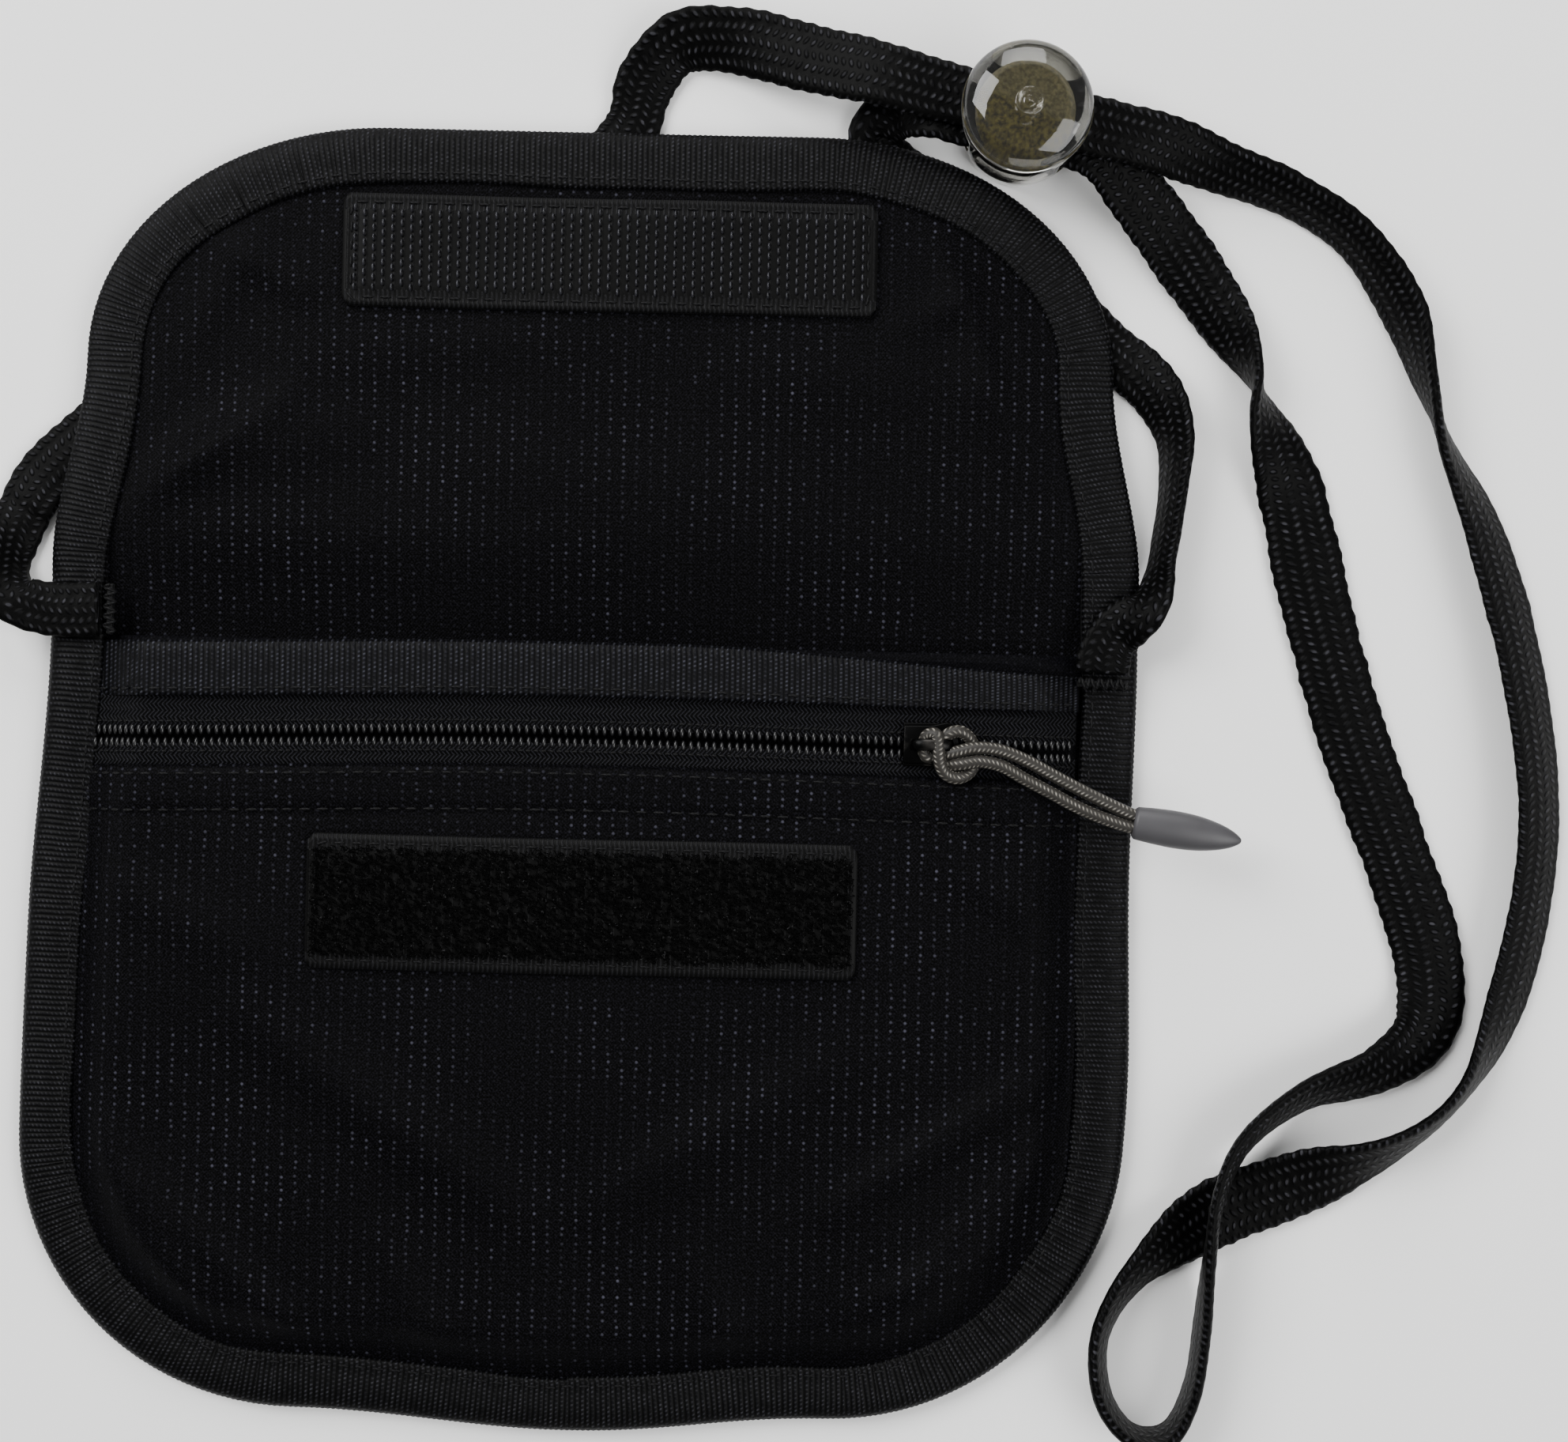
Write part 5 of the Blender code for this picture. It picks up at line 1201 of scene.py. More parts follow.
# In millimetres: x, y, height of what it lies on, lean from flat in degrees, share of full width.
CORD_ROUTE = [
    (-69.6, 23.4, 3.8, 0, 0.78),
    (-76.5, 23.2, 3.9, 5, 0.78),
    (-81.6, 25.0, 3.6, 30, 0.78),
    (-83.4, 30.4, 0.3, 48, 0.80),
    (-81.6, 37.4, 0.0, 0, 0.80),
    (-77.0, 44.0, 0.0, 0, 0.90),
    (-66.0, 52.6, 0.0, 0, 1.00),
    (-44.0, 67.0, 0.0, 0, 1.00),
    (-20.0, 79.0, 0.0, 0, 1.00),
    (-3.0, 86.6, 0.0, 0, 0.95),
    (4.6, 94.0, 0.0, 0, 0.80),
    (7.0, 101.4, 0.0, 12, 0.85),
    (12.0, 106.8, 0.2, 30, 0.90),
    (20.5, 107.0, 1.6, 16, 0.95),
    (31.0, 104.0, 5.2, 4, 0.95),
    (40.5, 101.4, 8.8, 0, 0.90),
    (49.5, 99.0, 9.1, 0, 0.86),
    (60.7, 96.6, 9.1, 0, 0.86),
    (71.9, 94.3, 9.1, 0, 0.86),
    (80.5, 92.6, 7.2, 12, 0.85),
    (90.0, 90.0, 2.6, 35, 0.80),
    (100.0, 86.8, 0.2, 52, 0.80),
    (109.5, 80.8, 0.0, 55, 0.80),
    (116.4, 71.0, 0.0, 55, 0.85),
    (120.0, 60.5, 0.0, 80, 0.75),
    (123.4, 51.0, 0.0, 115, 0.75),
    (129.0, 39.0, 0.0, 138, 0.95),
    (134.4, 21.5, 0.0, 140, 1.00),
    (137.6, 2.0, 0.0, 138, 1.00),
    (137.0, -14.0, 0.0, 140, 0.95),
    (133.2, -30.0, 0.0, 138, 0.95),
    (127.2, -42.0, 0.0, 112, 0.90),
    (118.0, -49.8, 0.0, 122, 0.90),
    (104.0, -55.8, 0.0, 168, 1.00),
    (91.5, -61.0, 0.0, 172, 1.00),
    (81.5, -68.6, 0.0, 128, 0.90),
    (76.4, -77.2, 0.0, 110, 0.95),
    (76.8, -86.0, 0.0, 104, 0.95),
    (81.0, -91.6, 0.0, 96, 0.95),
    (86.4, -91.4, 0.0, 92, 0.95),
    (89.6, -85.0, 0.0, 90, 0.95),
    (90.8, -76.0, 0.3, 90, 0.95),
    (91.4, -66.0, 2.2, 84, 0.90),
    (92.6, -57.0, 2.4, 74, 0.85),
    (96.4, -49.0, 1.8, 66, 0.85),
    (105.0, -42.6, 0.0, 56, 0.90),
    (115.6, -38.6, 0.0, 36, 0.95),
    (122.6, -32.4, 0.0, 12, 1.00),
    (122.8, -22.0, 0.0, 0, 1.00),
    (118.0, -8.0, 0.0, 0, 1.00),
    (111.0, 10.0, 0.0, 0, 1.00),
    (105.6, 28.0, 0.0, 0, 1.00),
    (101.6, 44.0, 0.0, 4, 1.00),
    (97.0, 55.0, 0.0, 50, 0.85),
    (95.2, 61.0, 0.0, 100, 0.75),
    (91.6, 68.0, 0.0, 146, 0.85),
    (84.6, 78.0, 1.2, 172, 0.95),
    (78.0, 85.6, 4.6, 180, 0.90),
    (71.5, 91.8, 7.0, 180, 0.86),
    (60.4, 94.4, 7.0, 180, 0.86),
    (49.2, 96.9, 7.0, 180, 0.86),
    (43.6, 97.4, 2.9, 180, 0.80),
    (40.0, 94.6, 0.8, 180, 0.75),
    (43.0, 90.4, 0.0, 180, 0.75),
    (52.0, 83.4, 0.0, 180, 0.90),
    (64.0, 73.6, 0.0, 180, 0.90),
    (74.6, 64.6, 0.0, 180, 0.80),
    (81.2, 58.6, 0.0, 205, 0.80),
    (84.2, 52.0, 0.0, 236, 0.80),
    (84.2, 45.0, 0.0, 250, 0.80),
    (83.4, 38.0, 0.0, 252, 0.80),
    (82.2, 31.6, 1.0, 250, 0.78),
    (80.2, 26.8, 4.2, 220, 0.75),
    (76.6, 23.4, 3.8, 184, 0.75),
    (74.9, 20.6, 3.8, 180, 0.75),
    (74.5, 17.4, 3.8, 180, 0.75),
]


def smooth_route(points, per_span):
    """Read a smooth curve through the route's own points at even steps of each span."""
    route = np.array(points, dtype=float)
    padded = np.vstack([route[:1], route, route[-1:]])
    result = []
    for i in range(len(route) - 1):
        a, b, c, d = padded[i:i + 4]
        for step in range(per_span):
            t = step / per_span
            result.append(0.5 * (2 * b + (c - a) * t + (2 * a - 5 * b + 4 * c - d) * t * t
                                 + (3 * b - a - 3 * c + d) * t ** 3))
    result.append(route[-1])
    return np.array(result)


# Flat braid of textured polyester: rows of short plaits that lean one way and the other by turns,
# each with a float on a black ground; random floats in noise patches get a painted highlight.
BRAID_ROW = 1.85 * MM
BRAID_STEP = 1.18 * MM


def braid(name, row, step, ground, strand, painted_highlight_colour, lean, rows_lit, gloss):
    material, tree, shader = blank_material(name, 0.48, Sheen_Weight=0.01, Specular_IOR_Level=gloss)
    lay = add(tree, "ShaderNodeUVMap", {"uv_map": "lay"}, {}).outputs["UV"]
    cells = add(tree, "ShaderNodeVectorMath", {"operation": "MULTIPLY"}, {
        0: lay, 1: (0.1 / step, 0.1 / row, 0.0)}).outputs["Vector"]
    split = add(tree, "ShaderNodeSeparateXYZ", {}, {0: cells})
    row_part = add(tree, "ShaderNodeMath", {"operation": "FRACT"}, {0: split.outputs["Y"]}).outputs[0]
    across = add(tree, "ShaderNodeMath", {"operation": "SUBTRACT"}, {0: row_part, 1: 0.5}).outputs[0]
    row_number = add(tree, "ShaderNodeMath", {"operation": "FLOOR"}, {0: split.outputs["Y"]}).outputs[0]
    parity = add(tree, "ShaderNodeMath", {"operation": "PINGPONG"}, {0: row_number, 1: 1.0}).outputs[0]
    way = add(tree, "ShaderNodeMapRange", {},
        {"Value": parity, "To Min": -lean, "To Max": lean}).outputs["Result"]
    slanted = add(tree, "ShaderNodeMath", {"operation": "MULTIPLY"}, {0: across, 1: way}).outputs[0]
    jogged = add(tree, "ShaderNodeMath", {"operation": "MULTIPLY_ADD"},
        {0: parity, 1: 0.5, 2: slanted}).outputs[0]
    along = add(tree, "ShaderNodeMath", {"operation": "ADD"}, {0: split.outputs["X"], 1: jogged}).outputs[0]
    along_part = add(tree, "ShaderNodeMath", {"operation": "FRACT"}, {0: along}).outputs[0]
    centred = add(tree, "ShaderNodeMath", {"operation": "SUBTRACT"}, {0: along_part, 1: 0.5}).outputs[0]
    oval = add(tree, "ShaderNodeCombineXYZ", {}, {"X": centred, "Y": across})
    stretched = add(tree, "ShaderNodeVectorMath", {"operation": "MULTIPLY"}, {
        0: oval.outputs["Vector"], 1: (3.3, 2.9, 0.0)}).outputs["Vector"]
    away = add(tree, "ShaderNodeVectorMath", {"operation": "LENGTH"}, {0: stretched}).outputs["Value"]
    plait = add(tree, "ShaderNodeMapRange", {"interpolation_type": "SMOOTHSTEP"}, {
        "Value": away, "From Min": 1.25, "From Max": 0.30}).outputs["Result"]
    float_on = add(tree, "ShaderNodeMapRange", {"interpolation_type": "SMOOTHSTEP"}, {
        "Value": away, "From Min": 0.80, "From Max": 0.35}).outputs["Result"]
    patches = add(tree, "ShaderNodeTexNoise", {},
        {"Vector": lay, "Scale": 45.0, "Detail": 4.0, "Roughness": 0.7}).outputs["Fac"]
    lit = add(tree, "ShaderNodeMapRange", {}, {
        "Value": patches, "From Min": 0.34, "From Max": 0.62, "To Min": 1.0 - rows_lit}).outputs["Result"]
    plait_number = add(tree, "ShaderNodeMath", {"operation": "FLOOR"}, {0: along}).outputs[0]
    plait_name = add(tree, "ShaderNodeCombineXYZ", {}, {"X": plait_number, "Y": row_number}).outputs["Vector"]
    chance = add(tree, "ShaderNodeTexWhiteNoise", {"noise_dimensions": "2D"},
        {"Vector": plait_name}).outputs["Value"]
    some = add(tree, "ShaderNodeMath", {"operation": "MULTIPLY"}, {0: chance, 1: lit}).outputs[0]
    # Painted highlight: random plaits in lit noise patches get the highlight colour on their floats.
    painted_glint = add(tree, "ShaderNodeMath", {"operation": "MULTIPLY"}, {0: float_on, 1: some}).outputs[0]
    base = add(tree, "ShaderNodeMix", {"data_type": "RGBA"},
        {"Factor": plait, 6: srgb(ground), 7: srgb(strand)}).outputs[2]
    colour = add(tree, "ShaderNodeMix", {"data_type": "RGBA"},
        {"Factor": painted_glint, 6: base, 7: srgb(painted_highlight_colour)}).outputs[2]
    link(tree, colour, shader, "Base Color")
    bump = add(tree, "ShaderNodeBump", {}, {"Height": plait, "Strength": 0.6, "Distance": 0.2 * MM})
    link(tree, bump.outputs["Normal"], shader, "Normal")
    return material


# The third colour is the painted highlight on the floats.
cord_braid = braid("flat_braid_black", BRAID_ROW, BRAID_STEP, "010101", "060607", "3a3a3f", 0.55, 0.75, 0.06)

route = smooth_route(CORD_ROUTE, 16)
lean = np.radians(route[:, 3])
share = route[:, 4]
tall = (CORD_WIDTH - CORD_THICKNESS) * share / 2 * np.abs(np.sin(lean))
centre_z = route[:, 2] * MM + CORD_LIFT + tall + CORD_THICKNESS * share / 2
centre = np.column_stack([route[:, 0] * MM, route[:, 1] * MM, centre_z])
rough_run = np.concatenate([[0], np.cumsum(np.linalg.norm(np.diff(centre, axis=0), axis=1))])
run = np.linspace(0, rough_run[-1], int(rough_run[-1] / (0.5 * MM)))
lean = np.interp(run, rough_run, lean)
share = np.interp(run, rough_run, share)
centre = np.column_stack([np.interp(run, rough_run, centre[:, i]) for i in range(3)])

forward = np.gradient(centre, axis=0)
forward /= np.linalg.norm(forward, axis=1)[:, None]
upright = np.array([0, 0, 1.0]) - forward * forward[:, 2:3]
upright /= np.linalg.norm(upright, axis=1)[:, None]
sideways = np.cross(forward, upright)
tilt = math.pi / 2 + lean
wide_way = np.cos(tilt)[:, None] * upright + np.sin(tilt)[:, None] * sideways
thick_way = np.cross(forward, wide_way)

# Round the cord: a flat tube whose rows of plaits stand a little proud, with full, rounded edges.
CORD_SIDES = 36
turns = np.linspace(0, 2 * math.pi, CORD_SIDES, endpoint=False)
offset = np.sign(np.cos(turns)) * np.abs(np.cos(turns)) ** 0.55
swell = np.sign(np.sin(turns)) * np.abs(np.sin(turns)) ** 0.75
rows_across = CORD_WIDTH / BRAID_ROW
ridge = 0.80 + 0.20 * np.abs(np.cos(math.pi * offset * rows_across / 2 * 0.92))
plait_wave = 0.04 * np.cos(2 * math.pi * run[:, None] / (BRAID_STEP * 2) + 3.0 * offset[None, :])
chance = np.random.default_rng(7)
knots = np.arange(0, run[-1] + 6 * MM, 3 * MM)
uneven = 1 + np.interp(run, knots, chance.normal(0, 0.022, len(knots)))
uneven += 0.022 * np.cos(2 * math.pi * run / (BRAID_STEP * 2))
half_wide = CORD_WIDTH / 2 * (share * uneven)[:, None]
half_thick = CORD_THICKNESS / 2 * (ridge[None, :] + plait_wave)
cord_points = (centre[:, None, :] + (half_wide * offset[None, :])[:, :, None] * wide_way[:, None, :]
               + (half_thick * swell[None, :])[:, :, None] * thick_way[:, None, :])
cord_points[:, :, 2] = np.maximum(cord_points[:, :, 2], 0.03 * MM)
around_run = np.concatenate(
    [[0], np.cumsum(np.hypot(np.diff(offset) * CORD_WIDTH / 2, np.diff(swell) * CORD_THICKNESS / 2))])
cord_uv = np.zeros((len(centre), CORD_SIDES, 2))
cord_uv[:, :, 0] = run[:, None] * 10
cord_uv[:, :, 1] = around_run[None, :] * 10
cord_mesh = outward(grid_mesh("neck_cord_braid", cord_points, cord_uv, around=True))
cord_piece = put("neck_cord_braid", cord_mesh, cord_braid)

# ---- the bars that hold the cord's ends --------------------------------------------------------------------
# Each end of the cord is sewn to the binding with a bartack: a dense bar of zigzag stitches.


def carried_frames(path):
    """Tangents and two side vectors that turn as little as they can along a path."""
    forward = np.gradient(path, axis=0)
    forward /= np.linalg.norm(forward, axis=1)[:, None] + 1e-12
    side = np.cross(forward[0], (0, 0, 1.0))
    if np.linalg.norm(side) < 0.1:
        side = np.cross(forward[0], (1.0, 0, 0))
    sides = []
    for way in forward:
        side = side - way * np.dot(side, way)
        side = side / np.linalg.norm(side)
        sides.append(side)
    sides = np.array(sides)
    return forward, sides, np.cross(forward, sides)


def round_cord(name, path, radius, material, sides=12, flat=None):
    """A round cord along a path, with cloth coordinates along and around it."""
    path = np.array(path)
    _, side, up = carried_frames(path)
    turns = np.linspace(0, 2 * math.pi, sides, endpoint=False)
    radii = np.full(len(path), radius) if flat is None else radius * flat
    points = path[:, None, :] + radii[:, None, None] * (
        np.cos(turns)[None, :, None] * side[:, None, :] + np.sin(turns)[None, :, None] * up[:, None, :])
    run = np.concatenate([[0], np.cumsum(np.linalg.norm(np.diff(path, axis=0), axis=1))])
    uv = np.zeros((len(path), sides, 2))
    uv[:, :, 0] = run[:, None] * 10
    uv[:, :, 1] = turns[None, :] * radius * 10
    return put(name, outward(grid_mesh(name, points, uv, around=True)), material)


bars = []
for name, lengthwise in (("bartack_left", 1), ("bartack_right", 0)):
    low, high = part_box(name)
    steps = 10
    zigzag = []
    for i in range(steps * 4 + 1):
        t = i / (steps * 4)
        swing = math.sin(t * steps * math.pi)
        middle = [(low[0] + high[0]) / 2, (low[1] + high[1]) / 2, high[2] - 0.35 * MM]
        middle[lengthwise] = low[lengthwise] + 0.3 * MM + (high[lengthwise] - low[lengthwise] - 0.6 * MM) * t
        middle[1 - lengthwise] += swing * 0.8 * MM
        middle[2] -= abs(swing) ** 3 * 0.5 * MM
        zigzag.append(middle)
    bar = round_cord(name + "_zigzag", zigzag, 0.22 * MM, thread_black, sides=8)
    core_outline = [(low[0] + 0.15 * MM, low[1] + 0.15 * MM), (high[0] - 0.15 * MM, low[1] + 0.15 * MM),
                    (high[0] - 0.15 * MM, high[1] - 0.15 * MM), (low[0] + 0.15 * MM, high[1] - 0.15 * MM)]
    core = prism(name + "_underlay", core_outline, low[2], high[2] - 0.6 * MM, 0.2 * MM, thread_black)
    for piece in (bar, core):
        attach(piece, "pouch")
        bars.append(piece)
    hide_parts(name)

# ---- the pull --------------------------------------------------------------------------------------------
# A loop of light grey round braid, hitched through the slider's crown, its two ends moulded into a
# soft grey tip. The hitch is one strand that wraps over and under the two legs.
PULL_DIAMETER = 1.8 * MM
PULL_ROUTE = [  # x, y and height of the middle of the cord, in millimetres, from the tip and back
    (80.6, -3.2, 10.4),
    (78.4, -2.6, 10.5),
    (74.3, -0.8, 10.4),
    (70.5, 1.0, 10.3),
    (66.8, 2.9, 10.2),
    (63.1, 4.8, 10.2),
    (59.4, 6.1, 10.3),
    (56.0, 6.3, 10.3),
    (53.2, 5.6, 9.6),
    (51.0, 5.2, 8.9),
    (49.4, 4.9, 8.9),
    (48.8, 6.2, 9.1),
    (49.3, 7.9, 9.5),
    (50.5, 8.1, 10.1),
    (50.9, 6.8, 10.25),
    (51.0, 5.2, 10.3),
    (51.3, 3.6, 10.1),
    (52.2, 2.4, 9.8),
    (53.8, 2.0, 9.5),
    (55.4, 2.8, 8.9),
    (56.1, 4.4, 8.6),
    (56.0, 6.2, 8.6),
    (55.3, 7.7, 9.0),
    (53.8, 8.6, 9.6),
    (52.2, 8.1, 9.6),
    (51.7, 6.8, 8.8),
    (51.8, 5.0, 8.65),
    (52.4, 3.9, 8.9),
    (54.2, 4.0, 9.9),
    (56.8, 4.4, 10.2),
    (59.9, 3.8, 10.2),
    (63.1, 2.1, 10.1),
    (66.9, 0.2, 10.2),
    (70.6, -1.7, 10.3),
    (74.3, -3.2, 10.4),
    (78.2, -4.4, 10.5),
    (80.6, -4.8, 10.4),
]
# The third colour is the painted highlight on the floats.
pull_braid = braid("round_braid_grey", 1.1 * MM, 0.62 * MM, "2a2825", "5a5751", "928e86", 0.9, 0.35, 0.25)
pull_path = smooth_route(PULL_ROUTE, 9) * MM
pull_piece = round_cord("pull_braid", pull_path, PULL_DIAMETER / 2, pull_braid, sides=14)

# Soft grey thermoplastic, moulded round the ends: matt, with a faint bloom.
grey_moulding, tree, shader = blank_material("soft_moulding_grey", 0.5, Sheen_Weight=0.05)
place = add(tree, "ShaderNodeTexCoord", {}, {}).outputs["Object"]
bloom = add(tree, "ShaderNodeTexNoise", {}, {"Vector": place, "Scale": 260.0, "Detail": 4.0}).outputs["Fac"]
colour = add(tree, "ShaderNodeMix", {"data_type": "RGBA"},
    {"Factor": bloom, 6: srgb("323133"), 7: srgb("414043")}).outputs[2]
link(tree, colour, shader, "Base Color")
bump = add(tree, "ShaderNodeBump", {}, {"Height": bloom, "Strength": 0.15, "Distance": 0.05 * MM})
link(tree, bump.outputs["Normal"], shader, "Normal")

tip_low, tip_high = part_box("pull_tip")
TIP_LENGTH = 15.5 * MM
TIP_TURN = math.radians(-8.5)
tip_start = np.array([tip_low[0] + 0.1 * MM, -3.7 * MM, (tip_low[2] + tip_high[2]) / 2])
tip_profile = smooth_route(
    [(0.0, 1.9), (0.02, 2.25), (0.05, 2.35), (0.2, 2.55), (0.4, 2.65), (0.6, 2.45), (0.78, 1.9),
                            (0.9, 1.25), (0.97, 0.62), (0.995, 0.25)], 4)
tip_turns = np.linspace(0, 2 * math.pi, 36, endpoint=False)
tip_points = np.zeros((len(tip_profile), 36, 3))
for i, (along, half) in enumerate(tip_profile):
    x_local = along * TIP_LENGTH
    y_local = half * MM * np.cos(tip_turns)
    tip_points[i, :, 0] = tip_start[0] + x_local * math.cos(TIP_TURN) - y_local * math.sin(TIP_TURN)
    tip_points[i, :, 1] = tip_start[1] + x_local * math.sin(TIP_TURN) + y_local * math.cos(TIP_TURN)
    tip_points[i, :, 2] = tip_start[2] + half * MM * 0.76 * np.sin(tip_turns)
tip_uv = np.zeros((len(tip_profile), 36, 2))
tip_uv[:, :, 0] = tip_profile[:, :1]
tip_uv[:, :, 1] = tip_turns[None, :] * 0.03
tip = put("pull_moulding", outward(grid_mesh("pull_moulding", tip_points, tip_uv, around=True)),
    grey_moulding)
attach(tip, "pull")
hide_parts("pull_tip")
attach(pull_piece, "pull")
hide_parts("pull_cord")
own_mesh(pull_piece)

# ---- the cord lock ---------------------------------------------------------------------------------------
# A two-part lock in clear plastic: a barrel the cord's two strands run through, and a push button
# whose olive core is pressed up by a spring, so that it pinches them. The button's domed top has
# a raised ring and a pip where it was moulded.
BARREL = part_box("lock_barrel")
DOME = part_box("lock_dome")
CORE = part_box("lock_plunger")
LOCK_X = (BARREL[0][0] + BARREL[1][0]) / 2
LOCK_Y = (BARREL[0][1] + BARREL[1][1]) / 2
LOCK_TURN = math.radians(-12)
PRESS_TRAVEL = 2.5 * MM
WAY_WIDTH = 11.8 * MM  # the cord's way through the barrel
CORE_WAY_WIDTH = 10.6 * MM  # and through the slimmer core
CORE_RADIUS = 6.1 * MM
BARREL_RADIUS = (BARREL[1][0] - BARREL[0][0]) / 2
DOME_RADIUS = (DOME[1][0] - DOME[0][0]) / 2


def turned(name, profile, material, steps=96, cut=None):
    """Turn a closed profile of (radius, height) about the lock's axis, and cut the cord's way."""
    bm = bmesh.new()
    rings = []
    for radius, z in profile:
        if radius < 1e-6:
            rings.append([bm.verts.new((LOCK_X, LOCK_Y, z))])
            continue
        ring = []
        for i in range(steps):
            a = 2 * math.pi * i / steps
            ring.append(bm.verts.new((LOCK_X + radius * math.cos(a), LOCK_Y + radius * math.sin(a), z)))
        rings.append(ring)
    for a, b in zip(rings, rings[1:]):
        for i in range(steps):
            j = (i + 1) % steps
            corners = [a[i % len(a)], a[j % len(a)], b[j % len(b)], b[i % len(b)]]
            bm.faces.new([v for n, v in enumerate(corners) if v not in corners[:n]])
    bmesh.ops.recalc_face_normals(bm, faces=bm.faces)
    mesh = bpy.data.meshes.new(name)
    bm.to_mesh(mesh)
    bm.free()
    piece = put(name, mesh, material)
    if cut is not None:
        low, high, width = cut
        half = BARREL_RADIUS * 1.5
        box_mesh = bpy.data.meshes.new(name + "_cutter")
        box = bmesh.new()
        bmesh.ops.create_cube(box, size=1.0)
        bmesh.ops.scale(box, vec=(2 * half, width, high - low), verts=box.verts)
        bmesh.ops.rotate(box, cent=(0, 0, 0), matrix=Matrix.Rotation(LOCK_TURN, 3, "Z"), verts=box.verts)
        bmesh.ops.translate(box, vec=(LOCK_X, LOCK_Y, (low + high) / 2), verts=box.verts)
        box.to_mesh(box_mesh)
        box.free()
        cutter = bpy.data.objects.new(name + "_cutter", box_mesh)
        bpy.context.collection.objects.link(cutter)
        way = piece.modifiers.new("cord_way", "BOOLEAN")
        way.operation = "DIFFERENCE"
        way.solver = "EXACT"
        way.object = cutter
        bpy.context.view_layer.update()
        result = bpy.data.meshes.new_from_object(piece.evaluated_get(bpy.context.evaluated_depsgraph_get()))
        piece.modifiers.clear()
        piece.data = result
        bpy.data.objects.remove(cutter, do_unlink=True)
    piece.data.shade_smooth()
    piece.data.set_sharp_from_angle(angle=math.radians(38))
    return piece


# Clear polycarbonate: glass-like, faintly rippled from the mould. Its slightly grey base colour is painted: it stands
# in for the dark surroundings seen through the plastic.
clear_plastic, tree, shader = blank_material("clear_polycarbonate", 0.06, Transmission_Weight=1.0, IOR=1.49)
shader.inputs["Base Color"].default_value = srgb("c2c1bb")
place = add(tree, "ShaderNodeTexCoord", {}, {}).outputs["Object"]
flow = add(tree, "ShaderNodeTexNoise", {}, {"Vector": place, "Scale": 420.0, "Detail": 3.0}).outputs["Fac"]
hazy = add(tree, "ShaderNodeMapRange", {},
    {"Value": flow, "From Min": 0.45, "From Max": 0.8, "To Min": 0.02, "To Max": 0.10})
link(tree, hazy.outputs["Result"], shader, "Roughness")
bump = add(tree, "ShaderNodeBump", {}, {"Height": flow, "Strength": 0.18, "Distance": 0.15 * MM})
link(tree, bump.outputs["Normal"], shader, "Normal")

# Olive plastic of the core: translucent, mottled by the flow of the mould, with one side painted paler as painted
# light.
olive_plastic, tree, shader = blank_material("olive_core_plastic", 0.42)
place = add(tree, "ShaderNodeTexCoord", {}, {}).outputs["Object"]
shifted = add(tree, "ShaderNodeMapping", {}, {
    "Vector": place, "Location": (-LOCK_X, -LOCK_Y, 0.0), "Rotation": (0, 0, 0)}).outputs["Vector"]
turned_place = add(tree, "ShaderNodeVectorRotate", {"rotation_type": "Z_AXIS"}, {
    "Vector": shifted, "Angle": math.radians(22)}).outputs["Vector"]
split = add(tree, "ShaderNodeSeparateXYZ", {}, {0: turned_place})
grain = add(tree, "ShaderNodeTexNoise", {},
    {"Vector": place, "Scale": 1700.0, "Detail": 3.0, "Roughness": 0.6}).outputs["Fac"]
grain = add(tree, "ShaderNodeMapRange", {},
    {"Value": grain, "From Min": 0.36, "From Max": 0.64}).outputs["Result"]
# Painted light: the core is paler on one side of a line across it.
painted_lit_side = add(tree, "ShaderNodeMapRange", {"interpolation_type": "SMOOTHSTEP"}, {
    "Value": split.outputs["Y"], "From Min": -0.5 * MM, "From Max": 0.5 * MM}).outputs["Result"]
dark = add(tree, "ShaderNodeMix", {"data_type": "RGBA"},
    {"Factor": grain, 6: srgb("2c280c"), 7: srgb("7a6f2c")}).outputs[2]
painted_lit_olive = add(tree, "ShaderNodeMix", {"data_type": "RGBA"},
    {"Factor": grain, 6: srgb("575133"), 7: srgb("857e55")}).outputs[2]
colour = add(tree, "ShaderNodeMix", {"data_type": "RGBA"}, {"Factor": painted_lit_side, 6: dark, 7: painted_lit_olive}).outputs[2]
link(tree, colour, shader, "Base Color")
bump = add(tree, "ShaderNodeBump", {}, {"Height": grain, "Strength": 0.4, "Distance": 0.1 * MM})
link(tree, bump.outputs["Normal"], shader, "Normal")

dome_low, dome_top = DOME[0][2], DOME[1][2]
rim = 0.8 * MM
dome_rise = dome_top - dome_low - rim - 0.3 * MM
dome_profile = [(0.0, dome_low), (2.0 * MM, dome_low), (DOME_RADIUS - 0.75 * MM, dome_low),
    (DOME_RADIUS - 0.6 * MM, dome_low), (DOME_RADIUS - 0.15 * MM, dome_low + 0.12 * MM),
                (DOME_RADIUS, dome_low + 0.4 * MM), (DOME_RADIUS, dome_low + rim)]
for i in range(1, 18):
    a = math.radians(90 * i / 20)
    dome_profile.append((DOME_RADIUS * math.cos(a) ** 0.72, dome_low + rim + dome_rise * math.sin(a)))
for r in np.arange(2.8, 0.01, -0.08):
    ring_height = 0.38 * math.exp(-((r - 1.65) / 0.17) ** 2)
    hollow = 0.45 * ease((1.5 - r) / 0.35)
    pip = 0.65 * math.exp(-(r / 0.5) ** 2)
    dome_profile.append((r * MM, dome_top + (-0.38 + ring_height - hollow + pip) * MM))
dome_profile.append((0.0, dome_top - 0.18 * MM))
dome = turned("lock_button_dome", dome_profile, clear_plastic)
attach(dome, "lock_button")
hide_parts("lock_dome")

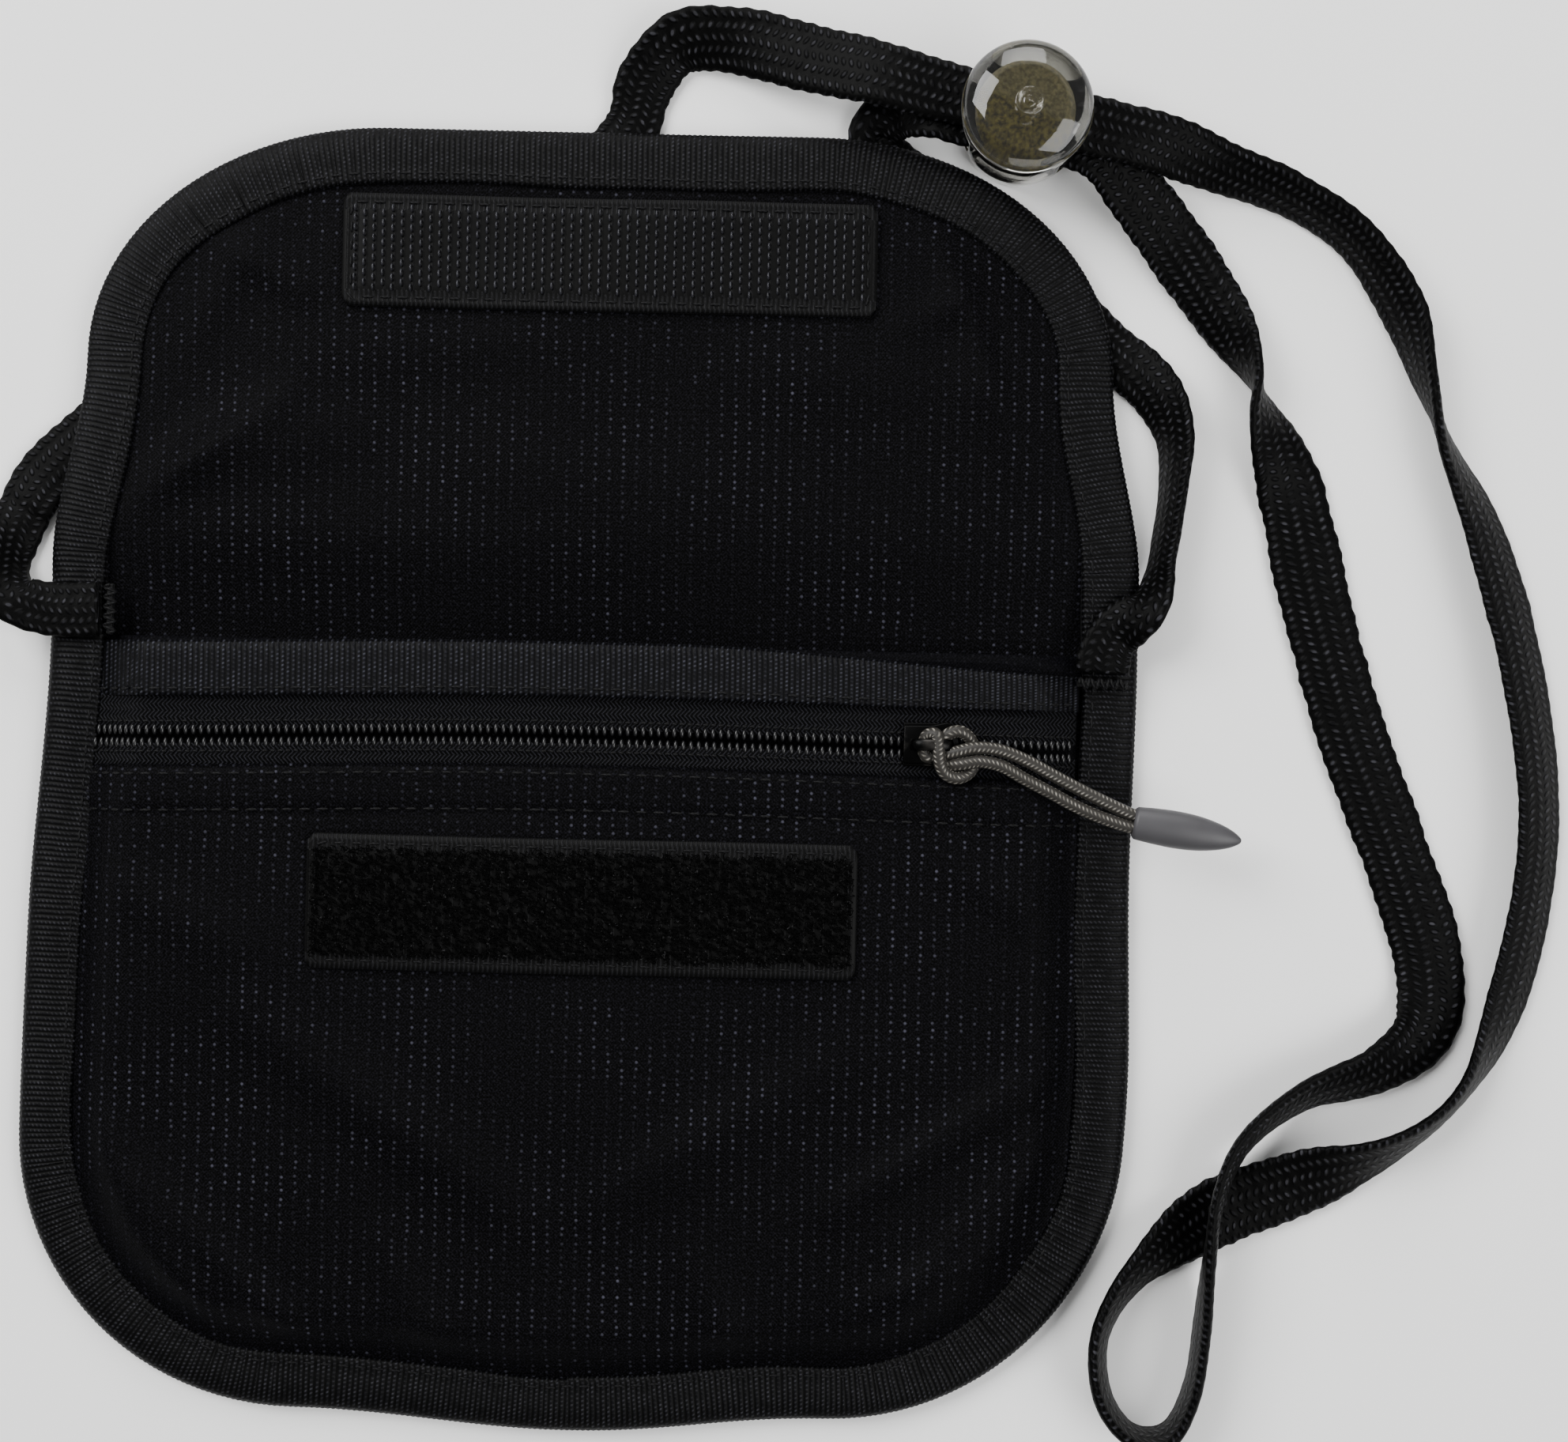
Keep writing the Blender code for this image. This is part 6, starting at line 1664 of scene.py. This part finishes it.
strands_low = BARREL[0][2] + 6.6 * MM
strands_high = BARREL[0][2] + 11.3 * MM
floor = 1.4 * MM
bore = BARREL_RADIUS - 1.5 * MM
barrel_profile = [(0.0, 0.05 * MM), (BARREL_RADIUS - 1.5 * MM, 0.05 * MM),
    (BARREL_RADIUS - 1.0 * MM, 0.35 * MM),
                  (BARREL_RADIUS - 0.8 * MM, 1.0 * MM), (BARREL_RADIUS - 0.4 * MM, 5.2 * MM),
                  (BARREL_RADIUS - 0.25 * MM, 5.5 * MM),
                  (BARREL_RADIUS - 0.25 * MM, 6.0 * MM), (BARREL_RADIUS, 6.3 * MM),
                  (BARREL_RADIUS, BARREL[1][2] - 0.7 * MM),
                  (BARREL_RADIUS - 0.2 * MM, BARREL[1][2] - 0.2 * MM),
                  (BARREL_RADIUS - 0.6 * MM, BARREL[1][2]),
                  (bore + 0.25 * MM, BARREL[1][2]), (bore, BARREL[1][2] - 0.25 * MM), (bore, floor),
                  (0.0, floor)]
barrel = turned("lock_barrel_clear", barrel_profile, clear_plastic,
    cut=(strands_low, strands_high, WAY_WIDTH))
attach(barrel, "cord_lock")
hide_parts("lock_barrel")

core_low, core_high = CORE[0][2], CORE[1][2]
core_profile = [(0.0, core_low), (CORE_RADIUS - 0.4 * MM, core_low), (CORE_RADIUS, core_low + 0.4 * MM),
                (CORE_RADIUS, core_high - 0.9 * MM), (CORE_RADIUS - 0.5 * MM, core_high - 0.15 * MM),
                (CORE_RADIUS - 0.7 * MM, core_high), (CORE_RADIUS - 0.85 * MM, core_high),
                (2.0 * MM, core_high),
                (0.0, core_high)]
core = turned("lock_core", core_profile, olive_plastic, cut=(strands_low, strands_high + PRESS_TRAVEL, CORE_WAY_WIDTH))
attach(core, "lock_button")
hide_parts("lock_plunger")

# Bright-drawn spring wire, with fine draw lines round it.
spring_wire, tree, shader = blank_material("drawn_spring_steel", 0.28, Metallic=1.0)
place = add(tree, "ShaderNodeTexCoord", {}, {}).outputs["Object"]
lines = add(tree, "ShaderNodeTexNoise", {}, {"Vector": place, "Scale": 1400.0, "Detail": 2.0}).outputs["Fac"]
colour = add(tree, "ShaderNodeMix", {"data_type": "RGBA"},
    {"Factor": lines, 6: srgb("8f8f90"), 7: srgb("c8c8c9")}).outputs[2]
link(tree, colour, shader, "Base Color")
SPRING_TURNS = 3
SPRING_RADIUS = 4.5 * MM
spring_low, spring_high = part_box("lock_spring")
wire_radius = (spring_high[0] - spring_low[0]) / 2 - SPRING_RADIUS
spring_line = []
for i in range(SPRING_TURNS * 40 + 1):
    a = 2 * math.pi * i / 40
    rise = i / (SPRING_TURNS * 40)
    spring_line.append((LOCK_X + SPRING_RADIUS * math.cos(a), LOCK_Y + SPRING_RADIUS * math.sin(a),
                        spring_low[2] + wire_radius + rise
                        * (spring_high[2] - spring_low[2] - 2 * wire_radius)))
spring = round_cord("lock_spring_coil", spring_line, wire_radius, spring_wire, sides=10)
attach(spring, "cord_lock")
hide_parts("lock_spring")
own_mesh(spring)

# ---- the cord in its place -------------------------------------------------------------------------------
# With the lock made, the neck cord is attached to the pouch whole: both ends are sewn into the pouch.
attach(cord_piece, "pouch")
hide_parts("neck_cord")
